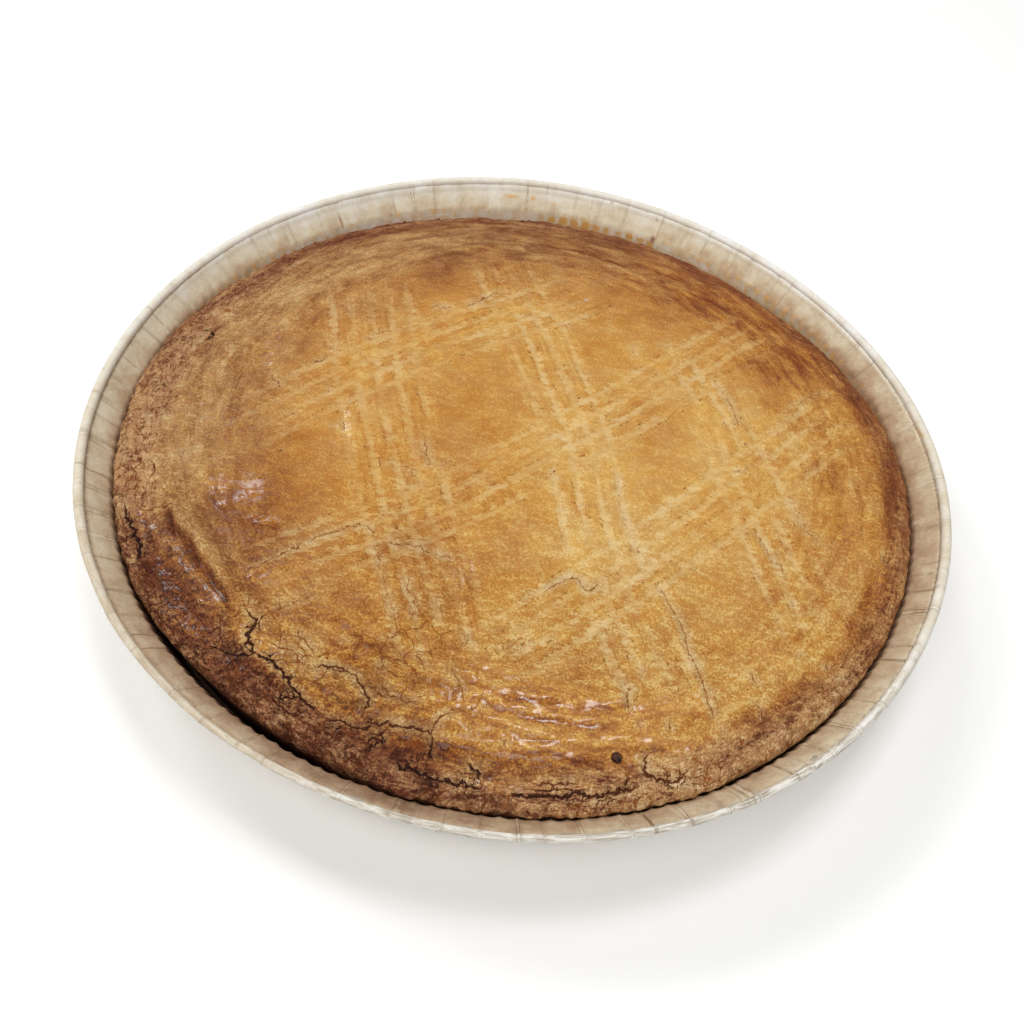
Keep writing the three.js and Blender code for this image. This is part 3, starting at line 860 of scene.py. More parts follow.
def crust_grain(tree, mark):
    """The patterns in the crust, each with its real size."""
    place = add(tree, "ShaderNodeTexCoord").outputs["Object"]
    mm = add(tree, VECTOR, place, 1 / MM, operation="SCALE")
    grain = SimpleNamespace()
    # Egg wash dries in wisps one to two millimetres long, drawn out the way the brush went.
    brushed = add(tree, VECTOR, mm, (0.5, 1.0, 1.0), operation="MULTIPLY")
    grain.wisps = add(tree, NOISE, {
        "Vector": brushed, "Scale": 1 / 1.5, "Detail": 4.0, "Roughness": 0.65, "Distortion": 0.35})
    # Single grains of flour and sugar, drawn at half a millimetre so that they show.
    grain.grains = add(tree, NOISE, {"Vector": mm, "Scale": 1 / 0.6, "Detail": 2.0, "Roughness": 0.65})
    # Uneven thickness of the wash, five to ten millimetres across.
    grain.clouds = add(tree, NOISE, {"Vector": mm, "Scale": 1 / 7.0, "Detail": 3.0, "Distortion": 0.6})
    # Where it has worn off altogether, about a centimetre across.
    grain.patchy = add(tree, NOISE, {
        "Vector": mm, "Scale": 1 / 11.0, "Detail": 4.0, "Roughness": 0.65, "Distortion": 1.0})
    # The fork drags the wash into streaks along its pull.
    pull = add(tree, JOIN, add(tree, TIMES, mark.across, 1 / 1.2), add(tree, TIMES, mark.along, 1 / 9))
    grain.streaks = add(tree, NOISE, {"Vector": pull, "Scale": 1.0, "Detail": 3.0, "Distortion": 0.4})
    # Towards the rim the skin is drawn out into folds that run round the cake, a millimetre or two wide.
    flat = add(tree, VECTOR, mm, (1, 1, 0), operation="MULTIPLY")
    radius = add(tree, VECTOR, flat, operation="LENGTH").outputs["Value"]
    around = add(tree, VECTOR, add(tree, VECTOR, flat, operation="NORMALIZE"), 11.0, operation="SCALE")
    around = add(tree, VECTOR, around, add(tree, JOIN, 0, 0, add(tree, TIMES, radius, 0.5)), operation="ADD")
    grain.folds = add(tree, NOISE, {
        "Vector": around, "Scale": 1.0, "Detail": 5.0, "Roughness": 0.68, "Distortion": 0.7})
    # The bare rim splits into short ragged fissures, painted darker as shade.
    veins = add(tree, NOISE, {
        "Vector": around, "Scale": 0.8, "Detail": 5.0, "Roughness": 0.65, "Distortion": 0.4})
    veins = add(tree, SIZE_OF, add(tree, MINUS, veins, 0.5))
    grain.fissures = chain(tree, TIMES, add(tree, EASE, veins, 0.0, 0.03, 1.0, 0.0),
                           add(tree, RANGE, grain.wisps, 0.42, 0.55), mark.rough)
    # Where the crumb is coarsest it splits into short jagged crevices a few millimetres apart, painted dark
    # inside as shade.
    splits = add(tree, NOISE, {
        "Vector": mm, "Scale": 1 / 5.5, "Detail": 4.0, "Roughness": 0.7, "Distortion": 0.9})
    splits = add(tree, SIZE_OF, add(tree, MINUS, splits, 0.5))
    grain.crevices = chain(tree, TIMES, add(tree, EASE, splits, 0.012, 0.04, 1.0, 0.0),
                           add(tree, RANGE, grain.wisps, 0.4, 0.5), add(tree, RANGE, mark.coarse, 1.8, 2.5),
                           add(tree, RANGE, mark.bake, 0.45, 0.75))
    # Cracks have ragged edges, and the narrow ones break into dashes.
    grain.ragged = add(tree, NOISE, {"Vector": mm, "Scale": 1 / 0.8, "Detail": 2.0})
    grain.breaks = add(tree, NOISE, {"Vector": mm, "Scale": 1 / 2.8, "Detail": 3.0, "Roughness": 0.6})
    grain.torn = add(tree, NOISE, {"Vector": mm, "Scale": 1 / 0.95, "Detail": 1.0})
    return grain


def crust_tone(tree, mark, grain):
    """How far each speck of the crust has baked, and the pale lines that the fork left."""
    texture = add(tree, PLUS, add(tree, RANGE, grain.wisps, 0.3, 0.7, -0.11, 0.11),
                  add(tree, RANGE, grain.grains, 0.3, 0.7, -0.14, 0.14))
    texture = chain(tree, TIMES, texture, mark.coarse, add(tree, RANGE, mark.bake, 0.5, 0.85, 1.0, 0.45))
    chips = add(tree, TIMES_PLUS, grain.wisps, 0.8, grain.grains)
    chips = chain(tree, TIMES, add(tree, RANGE, chips, 0.96, 1.12),
                  add(tree, RANGE, mark.coarse, 1.0, 2.2, 0.12, 0.24),
                  add(tree, RANGE, mark.bake, 0.5, 0.85, 1.0, 0.4))
    # Fissures darken the tone: painted shade.
    tone = add(tree, TIMES_PLUS, grain.fissures, 0.42, add(tree, PLUS, mark.bake, texture))
    tone = chain(tree, PLUS, add(tree, MINUS, tone, chips),
                 add(tree, TIMES, add(tree, RANGE, grain.folds, 0.3, 0.7, -0.14, 0.14), mark.outer),
                 add(tree, RANGE, grain.clouds, 0.3, 0.7, -0.06, 0.06))
    tone = add(tree, TIMES_PLUS, add(tree, RANGE, grain.streaks, 0.3, 0.7, -0.07, 0.07), mark.band, tone)
    ragged_gap = chain(tree, PLUS, mark.gap, add(tree, RANGE, grain.wisps, 0.3, 0.7, -1.0, 1.0),
                       add(tree, RANGE, grain.grains, 0.3, 0.7, -0.6, 0.6))
    line = chain(tree, TIMES, add(tree, EASE, ragged_gap, LINE_CORE, LINE_EDGE, 1.0, 0.0), mark.pressed,
                 add(tree, RANGE, grain.grains, 0.38, 0.58, 0.4, 1.2),
                 add(tree, RANGE, grain.clouds, 0.36, 0.6, 0.5, 1.15))
    return add(tree, TIMES_PLUS, line, -0.19, tone), line


def crust_skin(tree, mark, grain, tone, line):
    """The colour of the skin between its cracks: glossy wash over dry crumb, dark in its crevices."""
    glazed = add(tree, RAMP, tone, stops=[
        (0.0, "#E3C181"), (0.17, "#D6AB5F"), (0.31, "#C9974B"), (0.45, "#BC823A"), (0.59, "#AC6E2C"),
        (0.72, "#92521F"), (0.86, "#7C3F15"), (1.0, "#602808")])
    matt = add(tree, RAMP, tone, stops=[
        (0.0, "#DCC08F"), (0.17, "#CFB080"), (0.31, "#C29E6C"), (0.45, "#B48A58"), (0.59, "#A17547"),
        (0.72, "#8D5B34"), (0.86, "#784220"), (1.0, "#5C290F")])
    bare = add(tree, PLUS, mark.dust, add(tree, RANGE, grain.patchy, 0.4, 0.6, -0.15, 0.15))
    bare = add(tree, TIMES_PLUS, line, 0.5, bare, use_clamp=True)
    skin = add(tree, "ShaderNodeHueSaturation", {
        "Hue": 0.494, "Saturation": 0.93, "Value": 1.0, "Fac": mark.rough,
        "Color": add(tree, MIX, bare, glazed, matt).outputs["Result"]})
    # The crevices are mixed towards near black: painted shade.
    return add(tree, MIX, add(tree, TIMES, grain.crevices, 0.8), skin, to_linear("#3A1507"))


def crust_openings(tree, mark, grain):
    """Where the crust gapes, how deep it is and so how much painted shade it holds, and where the skin beside
    the score lines has torn.
    """
    opened = []
    for distance, width in ((mark.crack, mark.crack_width), (mark.joint, mark.joint_width)):
        offset = add(tree, PLUS, distance, add(tree, RANGE, grain.ragged, 0.2, 0.8, -0.32, 0.32))
        offset = add(tree, SIZE_OF, offset)
        offset = add(tree, PLUS, offset, add(tree, RANGE, grain.grains, 0.3, 0.7, -0.16, 0.16))
        half = add(tree, TIMES, add(tree, MATH, width, 1.4, operation="POWER"), 0.25)
        reach = add(tree, MINUS, half, offset)
        # Hairlines break into dashes; wide cracks run on.
        kept = add(tree, TIMES_PLUS, width, 0.8, grain.breaks)
        opened.append(add(tree, TIMES, add(tree, EASE, reach, -0.08, 0.06, 0.0, 1.0),
                          add(tree, RANGE, kept, 0.74, 0.82)))
    opened = add(tree, LARGER, *opened)
    depth = add(tree, LARGER, mark.crack_width, mark.joint_width)
    depth = add(tree, TIMES, depth, add(tree, RANGE, mark.bake, 0.3, 0.9, 0.6, 1.15))
    # Beside each score line the skin tears into short dashes, painted dark as shade in their small pits.
    bank = add(tree, SIZE_OF, add(tree, MINUS, mark.gap, LINE_EDGE))
    torn = chain(tree, TIMES, add(tree, EASE, bank, 0.1, 0.35, 1.0, 0.0),
                 add(tree, EASE, grain.torn, 0.56, 0.66), add(tree, EASE, grain.clouds, 0.47, 0.58), 0.7)
    return opened, depth, torn


def baked_crust_material():
    """Shortcrust pastry, egg-washed, fork-scored and baked. The wash browns and shines where it lies thick,
    the fork leaves it thin and matt in paler lines, and the edge is bare, rough crumb."""
    material, tree = new_material("egg_washed_shortcrust")
    mark = marks_of(tree, CRUST_MARKS)
    grain = crust_grain(tree, mark)
    tone, line = crust_tone(tree, mark, grain)
    skin = crust_skin(tree, mark, grain, tone, line)
    opened, depth, torn = crust_openings(tree, mark, grain)
    # Colour inside the cracks and joints: partly browning, partly painted shade that deepens with the width.
    inside = add(tree, RAMP, depth, stops=[
        (0.15, "#A4662C"), (0.4, "#86491B"), (0.62, "#5E2E12"), (0.82, "#3E1C0C"), (1.0, "#2C1108")])
    # The tears' dark brown is painted shade.
    colour = add(tree, MIX, opened, add(tree, MIX, torn, skin, to_linear("#74421D")), inside)
    dark = add(tree, LARGER, opened, torn)
    shine = chain(tree, TIMES, mark.gloss, add(tree, RANGE, grain.wisps, 0.4, 0.54, 0.1, 1.0),
                  add(tree, RANGE, dark, 0.0, 1.0, 1.0, 0.0))

    height = chain(tree, TIMES, add(tree, TIMES_PLUS, grain.grains, 1.2, grain.wisps), mark.coarse,
                   add(tree, RANGE, mark.gloss, 0.3, 1.0, 1.2, 0.7),
                   add(tree, RANGE, mark.bake, 0.5, 0.85, 1.0, 1.7))
    height = add(tree, TIMES_PLUS, grain.folds, add(tree, TIMES, mark.outer, 1.6), height)
    height = add(tree, TIMES_PLUS, grain.fissures, -1.2, height)
    cut = add(tree, TIMES, dark, add(tree, RANGE, depth, 0.3, 0.8, 0.3, 1.2))
    height = add(tree, MINUS, height, add(tree, TIMES_PLUS, grain.crevices, 1.4, cut))
    relief = add(tree, "ShaderNodeBump", {"Height": height, "Strength": 0.8, "Distance": 0.3 * MM})
    shell = add(tree, "ShaderNodeBsdfPrincipled", {
        "Base Color": colour, "Normal": relief, "IOR": 1.3, "Coat Roughness": 0.14,
        "Roughness": add(tree, RANGE, shine, 0.0, 1.0, 0.88, 0.42),
        "Coat Weight": add(tree, RANGE, shine, 0.15, 0.8, 0.0, 0.9)})
    add(tree, "ShaderNodeOutputMaterial", {"Surface": shell})
    return material


def bare_ply(tree, chart, mark):
    """Where the roll has torn, its outer ply lifts in streaks of bare fibre, white on the raised streaks and
    grey in the low ones, partly the fibre's own grey and partly painted shade: share, colour and height of
    the streaks."""
    streaks = add(tree, JOIN, add(tree, TIMES, chart, 1.5), add(tree, TIMES, mark.down, 1.1))
    streaks = add(tree, NOISE, {
        "Vector": streaks, "Scale": 1.0, "Detail": 5.0, "Roughness": 0.7, "Distortion": 0.6})
    colour = add(tree, RAMP, streaks, stops=[
        (0.36, "#8E8270"), (0.46, "#C2BAAC"), (0.56, "#E9E5DD"), (0.7, "#F6F4F0")])
    edge = add(tree, PLUS, add(tree, RANGE, streaks, 0.35, 0.65, -0.9, 0.9), mark.down)
    edge = chain(tree, TIMES, add(tree, RANGE, edge, 0.15, 0.45, 1.0, 0.0), mark.frayed,
                 add(tree, RANGE, mark.down, -9.5, -8.0))
    return edge, colour, add(tree, TIMES, streaks, edge)


def creases(tree, chart, mark, fibres, clouds):
    """Creases between pressed panels: two hairlines of painted shade with a raised fold between them, lit by
    a painted highlight, some with finer ones beside. Gives the fold and the lines."""
    from_crease = add(tree, SIZE_OF, add(tree, MINUS, add(tree, MATH, chart, operation="FRACT"), 0.5))
    from_crease = add(tree, TIMES_PLUS, from_crease, -7.4, 3.7)
    from_crease = chain(tree, PLUS, from_crease, add(tree, RANGE, clouds, 0.3, 0.7, -0.25, 0.25),
                        add(tree, RANGE, fibres, 0.3, 0.7, -0.12, 0.12))
    from_edge = add(tree, MINUS, from_crease, add(tree, RANGE, mark.spacing, 0.0, 1.0, 0.05, 0.6))
    hairline = add(tree, EASE, add(tree, SIZE_OF, from_edge), 0.08, 0.28, 1.0, 0.0)
    crest = add(tree, TIMES, add(tree, RANGE, from_edge, -0.1, -0.3), mark.creasing)
    finer = add(tree, MATH, add(tree, TIMES, from_crease, 1 / 0.8), operation="FRACT")
    finer = add(tree, RANGE, add(tree, SIZE_OF, add(tree, MINUS, finer, 0.5)), 0.04, 0.16, 0.7, 0.0)
    finer = chain(tree, TIMES, finer, add(tree, RANGE, from_crease, 1.2, 2.6, 1.0, 0.0),
                  add(tree, RANGE, mark.spacing, 0.6, 0.8))
    lines = chain(tree, TIMES, add(tree, LARGER, hairline, finer), mark.creasing,
                  add(tree, RANGE, clouds, 0.38, 0.58, 0.35, 0.95))
    return crest, lines


def case_paper_material():
    """Baking paper, pressed into pleats and rolled at the rim: off-white, matt and fibrous, with butter
    soaked into the flutes and toasted tan towards the cake."""
    material, tree = new_material("pressed_baking_paper")
    place = add(tree, "ShaderNodeTexCoord").outputs["Object"]
    mm = add(tree, VECTOR, place, 1 / MM, operation="SCALE")
    chart = add(tree, SPLIT, add(tree, "ShaderNodeUVMap", uv_map="UVMap")).outputs["X"]
    mark = marks_of(tree, ("toast", "seam", "creasing", "spacing", "amber", "burnt", "frayed", "down"))

    # Paper fibre: a millimetre or two long, faint.
    fibres = add(tree, NOISE, {
        "Vector": mm, "Scale": 1 / 1.5, "Detail": 4.0, "Roughness": 0.65, "Distortion": 1.2})
    clouds = add(tree, NOISE, {"Vector": mm, "Scale": 1 / 6.0, "Detail": 3.0})
    cooked = chain(tree, PLUS, mark.toast, add(tree, RANGE, clouds, 0.3, 0.7, -0.1, 0.1),
                   add(tree, RANGE, fibres, 0.3, 0.7, -0.07, 0.07))
    paper = add(tree, RAMP, cooked, stops=[
        (0.0, "#EBE8E2"), (0.2, "#DED5C3"), (0.4, "#CEBEA1"), (0.6, "#B69B7C"), (0.8, "#957459"),
        (1.0, "#6E503B")])
    edge, bare, streaky = bare_ply(tree, chart, mark)
    crest, crease = creases(tree, chart, mark, fibres, clouds)
    # The slit where the roll was turned over the brim is ragged where the paper tore; where it stands open it
    # is painted dark as shade.
    slit = add(tree, PLUS, add(tree, RANGE, fibres, 0.3, 0.7, -0.3, 0.3), mark.seam)
    slit = add(tree, EASE, slit, 0.25, 0.8, 0.0, 0.65)
    # Butter stains are amber and glassy; a few spots have scorched.
    soaked = add(tree, PLUS, add(tree, RANGE, fibres, 0.3, 0.7, -0.15, 0.15), mark.amber)
    soaked = add(tree, EASE, soaked, 0.05, 0.95)
    # The creases' fold gets a painted highlight and their lines painted shade.
    for share, colour in (
            (add(tree, TIMES, edge, 0.8), bare), (add(tree, TIMES, crest, 0.08), to_linear("#E6DCCB")),
            (crease, to_linear("#755939")), (slit, to_linear("#7A6857")),
            (add(tree, TIMES, soaked, 0.85), to_linear("#D49A3A")), (mark.burnt, to_linear("#7E3A16"))):
        paper = add(tree, MIX, share, paper, colour)

    height = add(tree, TIMES_PLUS, streaky, 4.0, add(tree, TIMES_PLUS, crease, -1.4, fibres))
    relief = add(tree, "ShaderNodeBump", {"Height": height, "Strength": 0.35, "Distance": 0.15 * MM})
    sheet = add(tree, "ShaderNodeBsdfPrincipled", {
        "Base Color": paper, "Normal": relief, "IOR": 1.4,
        "Roughness": add(tree, RANGE, soaked, 0.0, 1.0, 0.82, 0.5)})
    add(tree, "ShaderNodeOutputMaterial", {"Surface": sheet})
    return material


def floor_material():
    """Matt white paper sweep: plain, so the cake's own edges read."""
    material, tree = new_material("white_sweep")
    sweep = add(tree, "ShaderNodeBsdfPrincipled", {
        "Base Color": to_linear("#FBFBFA"), "Roughness": 0.9, "Specular IOR Level": 0.1})
    add(tree, "ShaderNodeOutputMaterial", {"Surface": sweep})
    return material


# ---- Paper case ----

STAIN_RADIUS = 109                # stains are placed along a circle of this radius
CASE_STEPS = 1440                 # round the case, eight to a flute
CREASE_DEPTH = 0.14
NEAR_ROLL = 0.32                  # how much tighter the roll is on the near side
NOTCH_IN, NOTCH_DOWN = 1.55, 1.0  # the slit under the roll, from the roll's centre
PLY = (0.34, -0.37)               # from the brim's upper face to its lower
SLUMP_SHADE = (212, 220, 258, 266)              # sector where the foot behind the slump gets painted shade

# How toasted the paper is by direction: more on the brim, on the roll and at the brim's foot, where it is
# less on the far side as painted light; and how open the slit.
PAPER_TOAST = {
    0: (0.12, 0.2, 0.0, 0.7), 20: (0.14, 0.12, -0.05, 0.5), 40: (0.08, 0.04, -0.15, 0.25),
    60: (0.02, 0.02, -0.22, 0.1), 80: (0.0, 0.08, -0.28, 0.08), 100: (-0.04, 0.1, -0.32, 0.05),
    120: (-0.08, 0.08, -0.25, 0.08), 140: (-0.08, 0.06, -0.18, 0.2), 160: (-0.06, 0.1, -0.1, 0.4),
    180: (0.0, 0.16, 0.0, 0.7), 200: (-0.04, 0.22, 0.0, 0.7), 220: (0.05, 0.36, 0.0, 0.3),
    240: (0.1, 0.38, 0.0, 0.2), 260: (0.18, 0.25, 0.0, 0.3), 280: (0.06, 0.25, 0.0, 0.4),
    300: (0.04, 0.2, 0.0, 0.4), 320: (0.0, 0.12, 0.0, 0.6), 340: (0.08, 0.12, 0.0, 0.7),
}

# How frayed the roll's outer ply is by direction.
FRAYED = {200: (0,), 215: (0.3,), 245: (0.35,), 262: (1,), 318: (1,), 338: (0,)}

# Tufts of torn paper on the near roll: direction and height.
TUFTS = [(308, 0.5), (265, 0.3), (284, 0.25)]

# Stains by direction, distance down from the slit, half-width along the rim, half-depth, strength. Soaked
# ones lie in the belly of each flute and seeped ones in the fold between flutes.
STAINS = {
    "amber": [
        (103, 3.2, 0.8, 0.8, 0.6), (98.3, 3.2, 2.2, 0.7, 0.7), (94.6, 3.3, 0.8, 0.9, 0.8),
        (91, 4.0, 0.6, 0.7, 0.5), (13, -0.9, 10, 1.1, 0.4), (317, -0.9, 3, 0.8, 0.4),
        (311, -1.1, 4, 0.8, 0.5), (305, -0.9, 6, 0.9, 0.5), (296, -1.0, 5, 0.8, 0.45),
        (118, 6.8, 1.0, 1.2, 0.4), (88, 9.6, 7, 0.6, 0.8), (80, 9.4, 6, 0.5, 0.6),
    ],
    "soaked": [(87, 9.4, 10, 1.5, 1.0), (76, 9.4, 9, 1.2, 0.6)],
    "seeped": [
        (46, 7.8, 34, 2.4, 0.3), (20, 8.2, 14, 1.8, 0.3), (112, 8.6, 12, 1.6, 0.3), (150, 8.4, 30, 1.6, 0.35),
    ],
    "burnt": [
        (72.9, 7.4, 0.8, 1.0, 0.8), (81.5, 0.2, 0.6, 0.35, 0.5), (50.5, -0.3, 0.9, 0.6, 0.8),
        (128.2, 5.2, 0.3, 2.4, 0.8), (118.6, 4.6, 0.3, 2.6, 0.35), (138.4, 4.8, 0.35, 2.4, 0.3),
        (73.4, 1.0, 0.4, 0.3, 0.4),
    ],
    "toast": [
        (129.5, 5.6, 2.6, 3.0, 0.1), (119.8, 5.4, 2.6, 3.0, 0.08), (139.8, 5.6, 3.0, 3.0, 0.1),
        (60, 6, 8, 2.5, 0.06), (100, 7.5, 30, 2.0, 0.08), (95, 1.8, 20, 1.2, -0.06),
    ],
}


def case_section():
    """The case cut from its axis to its rim and back: radius and height of each place, with its share of
    flute, of pressed panel, of toasting, of the slit beside the roll, and of the roll itself."""
    rows = [(radius, FLOOR_PAPER, 0, 0, 0, 0, 0) for radius in (0, 60, 99.3)]
    for height, flute, toast in (
            (1.6, 1, 1), (5, 1, 1), (9, 1, 1), (13, 1, 0.95), (16, 1, 0.9), (18.5, 0.95, 0.82),
            (20.3, 0.85, 0.72), (21.8, 0.72, 0.62), (22.7, 0.62, 0.54)):
        rows.append((plain_wall(height), height, flute, 0.15, toast, 0, 0))
    notch = (ROLL_CENTRE - NOTCH_IN, RIM_HEIGHT - NOTCH_DOWN)
    edge = (BRIM_INNER + 0.3, BRIM_HEIGHT + 0.35)
    for share in (0, 0.07, 0.16, 0.28, 0.42, 0.58, 0.75, 0.9):
        rows.append((edge[0] + (notch[0] - edge[0]) * share, edge[1] + (notch[1] - edge[1]) * share,
                     0.5 * (1 - share) ** 2.5, 1, 0.48 - 0.2 * share ** 0.6, 0, 0))
    rows.append((*notch, 0, 1, 0.3, 0.55, 1))
    rows.append((ROLL_CENTRE - 1.15, RIM_HEIGHT - 0.95, 0, 1, 0.3, 1, 1))
    for degrees in range(205, -111, -21):
        around = math.radians(degrees)
        radius = ROLL_CENTRE + ROLL_RADIUS * math.cos(around)
        height = RIM_HEIGHT + ROLL_RADIUS * math.sin(around)
        rows.append((radius, height, 0, 0.6, 0.06, 0.35 if degrees == 205 else 0, 1))
    rows.append((notch[0] + PLY[0], notch[1] + PLY[1], 0, 1, 0.1, 0, 1))
    rows.append((edge[0] + PLY[0], edge[1] + PLY[1], 0.6, 1, 0.1, 0, 0))
    rows += [(plain_wall(height) + 0.7, height, 1, 0.15, 0.1, 0, 0) for height in (21.5, 17, 12, 6, 0.7)]
    rows += [(radius, 0, 0, 0, 0, 0, 0) for radius in (99.6, 60, 0)]
    return np.array(rows, float)


def section_grid(tree, section, steps):
    """A grid with a column for each step round the case and a row for each place of its section: the mesh,
    and each point's row and turn."""
    count = add(tree, "GeometryNodeAttributeDomainSize", {"Geometry": section}).outputs["Point Count"]
    grid = add(tree, "GeometryNodeMeshGrid", {
        "Size X": 1.0, "Size Y": 1.0, "Vertices X": add(tree, PLUS, steps, 1), "Vertices Y": count})
    index = add(tree, PLUS, add(tree, "GeometryNodeInputIndex"), 0.5)
    column = add(tree, MATH, add(tree, OVER, index, count), operation="FLOOR")
    row = add(tree, MATH, add(tree, MINUS, index, add(tree, TIMES, column, count)), operation="FLOOR")
    return grid.outputs["Mesh"], row, add(tree, TIMES, add(tree, OVER, column, steps), TURN)


def rim_waves(tree, turn, height):
    """The rim is not quite round."""
    waves = 0.0
    for number, offset, heading in RIM_WAVES:
        phase = add(tree, TIMES_PLUS, turn, float(number), -math.radians(heading))
        waves = add(tree, TIMES_PLUS, add(tree, MATH, phase, operation="COSINE"), offset * MM, waves)
    share = add(tree, MATH, add(tree, OVER, height, RIM_HEIGHT * MM), 1.0, operation="MINIMUM")
    return add(tree, TIMES, waves, add(tree, TIMES, share, share))


def pressing(tree, turn, cosine, sine, panels, depth):
    """Pressed panels of uneven width, each a little in or out, with a crease between; some creases hardly
    show. Gives the count of panels passed, each crease's strength and spacing, and the lift."""
    uneven = add(tree, NOISE, {"Vector": add(tree, JOIN, cosine, sine), "Scale": 9.0, "Detail": 1.0})
    panel = add(tree, TIMES_PLUS, add(tree, TIMES, turn, 1 / TURN), panels, add(tree, TIMES, uneven, 2.2))
    from_crease = add(tree, MINUS, add(tree, MATH, panel, operation="FRACT"), 0.5)
    from_crease = add(tree, MINUS, 0.5, add(tree, SIZE_OF, from_crease))
    crease = add(tree, MATH, panel, operation="ROUND")
    chance, spacing, number = (
        add(tree, "ShaderNodeTexWhiteNoise", {"W": key}, noise_dimensions="1D").outputs["Value"]
        for key in (crease, add(tree, PLUS, crease, 0.5), add(tree, MATH, panel, operation="FLOOR")))
    strength = add(tree, TIMES, add(tree, RANGE, chance, 0.0, 1.0, 0.3, 1.0),
                   add(tree, RANGE, sine, -0.5, 0.6, 1.0, 0.4))
    dent = add(tree, TIMES, from_crease, 1 / 0.055)
    dent = add(tree, TIMES, add(tree, TIMES, dent, dent), -1.0)
    lift = chain(tree, TIMES, add(tree, MATH, dent, operation="EXPONENT"), strength, depth)
    lift = add(tree, TIMES_PLUS, add(tree, MINUS, number, 0.5), 0.3 * MM, lift)
    return panel, strength, spacing, add(tree, TIMES_PLUS, from_crease, 0.3 * MM, lift)


def paper_case_tree():
    """Turns the section about the axis and presses flutes, panels and creases into it."""
    tree, given = new_tree("Fluted paper case", {
        "Steps Around": "Int", "Flutes": "Int", "Flute Depth": "Float", "Panels": "Int",
        "Crease Depth": "Float", "Near Roll": "Float", "Paper": "Material"})
    section = given["Geometry"]
    stored, row, turn = section_grid(tree, section, given["Steps Around"])
    cosine = add(tree, MATH, turn, operation="COSINE")
    sine = add(tree, MATH, turn, operation="SINE")
    spot = add(tree, SPLIT, add(tree, SAMPLE, {
        "Geometry": section, "Value": add(tree, "GeometryNodeInputPosition"), "Index": row,
    }, data_type="FLOAT_VECTOR", domain="POINT"))
    radius, height = spot.outputs["X"], spot.outputs["Z"]
    flute, pressed, toast, seam, rolled, down = (
        add(tree, SAMPLE, {
            "Geometry": section, "Index": row, "Value": add(tree, NAMED, {"Name": name}).outputs["Attribute"],
        }, data_type="FLOAT", domain="POINT")
        for name in ("flute", "pressed", "toast", "seam", "rolled", "down"))

    # The roll is tighter on the near side; it shrinks towards its outer edge.
    near = add(tree, EASE, sine, -0.35, -0.95)
    tight = chain(tree, TIMES, near, rolled, given["Near Roll"])
    outward = add(tree, MINUS, (ROLL_CENTRE + ROLL_RADIUS) * MM, radius)
    drawn_in = add(tree, TIMES_PLUS, outward, tight, radius)
    height = add(tree, TIMES_PLUS, add(tree, MINUS, RIM_HEIGHT * MM, height), tight, height)

    # Flutes: round outward, with a sharp fold between them, faintest on the far side.
    fold = add(tree, TIMES, turn, add(tree, OVER, given["Flutes"], 2.0))
    fold = add(tree, SIZE_OF, add(tree, MATH, fold, operation="SINE"))
    fluting = chain(tree, TIMES, add(tree, MINUS, fold, 0.5), given["Flute Depth"], flute,
                    add(tree, RANGE, sine, -1.0, 1.0, 1.15, 0.75))
    out = chain(tree, PLUS, drawn_in, rim_waves(tree, turn, height), fluting)

    panel, strength, spacing, lift = pressing(
        tree, turn, cosine, sine, given["Panels"], given["Crease Depth"])

    # Damp from the oven cockles the paper gently.
    where = add(tree, JOIN, add(tree, TIMES, out, cosine), add(tree, TIMES, out, sine), height)
    cockle = add(tree, NOISE, {"Vector": where, "Scale": 1 / (8 * MM), "Detail": 2.0})
    lift = add(tree, TIMES_PLUS, add(tree, MINUS, cockle, 0.5), 0.9 * MM, lift)
    lift = add(tree, TIMES, lift, pressed)
    out = add(tree, TIMES_PLUS, lift, -0.5, out)
    out = add(tree, TIMES, out, add(tree, MATH, radius, 1e-6, operation="GREATER_THAN"))
    height = add(tree, TIMES_PLUS, lift, 0.8, height)
    where = add(tree, JOIN, add(tree, TIMES, out, cosine), add(tree, TIMES, out, sine), height)

    for name, value in {"panel": panel, "creasing": add(tree, TIMES, strength, pressed), "spacing": spacing,
                        "toast": toast, "seam": seam, "down": down, "rolled": rolled, "section": row}.items():
        stored = add(tree, STORE, {"Geometry": stored, "Name": name, "Value": value},
                     data_type="FLOAT", domain="POINT")
    placed = add(tree, "GeometryNodeSetPosition", {"Geometry": stored, "Position": where})
    chart = add(tree, JOIN, *(
        add(tree, NAMED, {"Name": name}).outputs["Attribute"] for name in ("panel", "section")))
    mapped = add(tree, STORE, {"Geometry": placed, "Name": "UVMap", "Value": chart},
                 data_type="FLOAT2", domain="CORNER")
    closed = add(tree, "GeometryNodeMergeByDistance", {"Geometry": mapped, "Distance": 2e-6})
    shaded = add(tree, "GeometryNodeSetShadeSmooth", {"Geometry": closed, "Shade Smooth": True})
    finished(tree, shaded, given["Paper"])
    return tree


def stained(here, stains):
    """Strength of a set of stains at each place of the paper."""
    total = np.zeros(len(here.down))
    for heading, depth, half_wide, half_deep, strength in stains:
        sideways = np.radians((here.degrees - heading + 180) % 360 - 180) * STAIN_RADIUS / half_wide
        reach = np.hypot(sideways, (here.down - depth) / half_deep)
        total += strength * (1 - smooth(0.4, 1.5, reach))
    return total


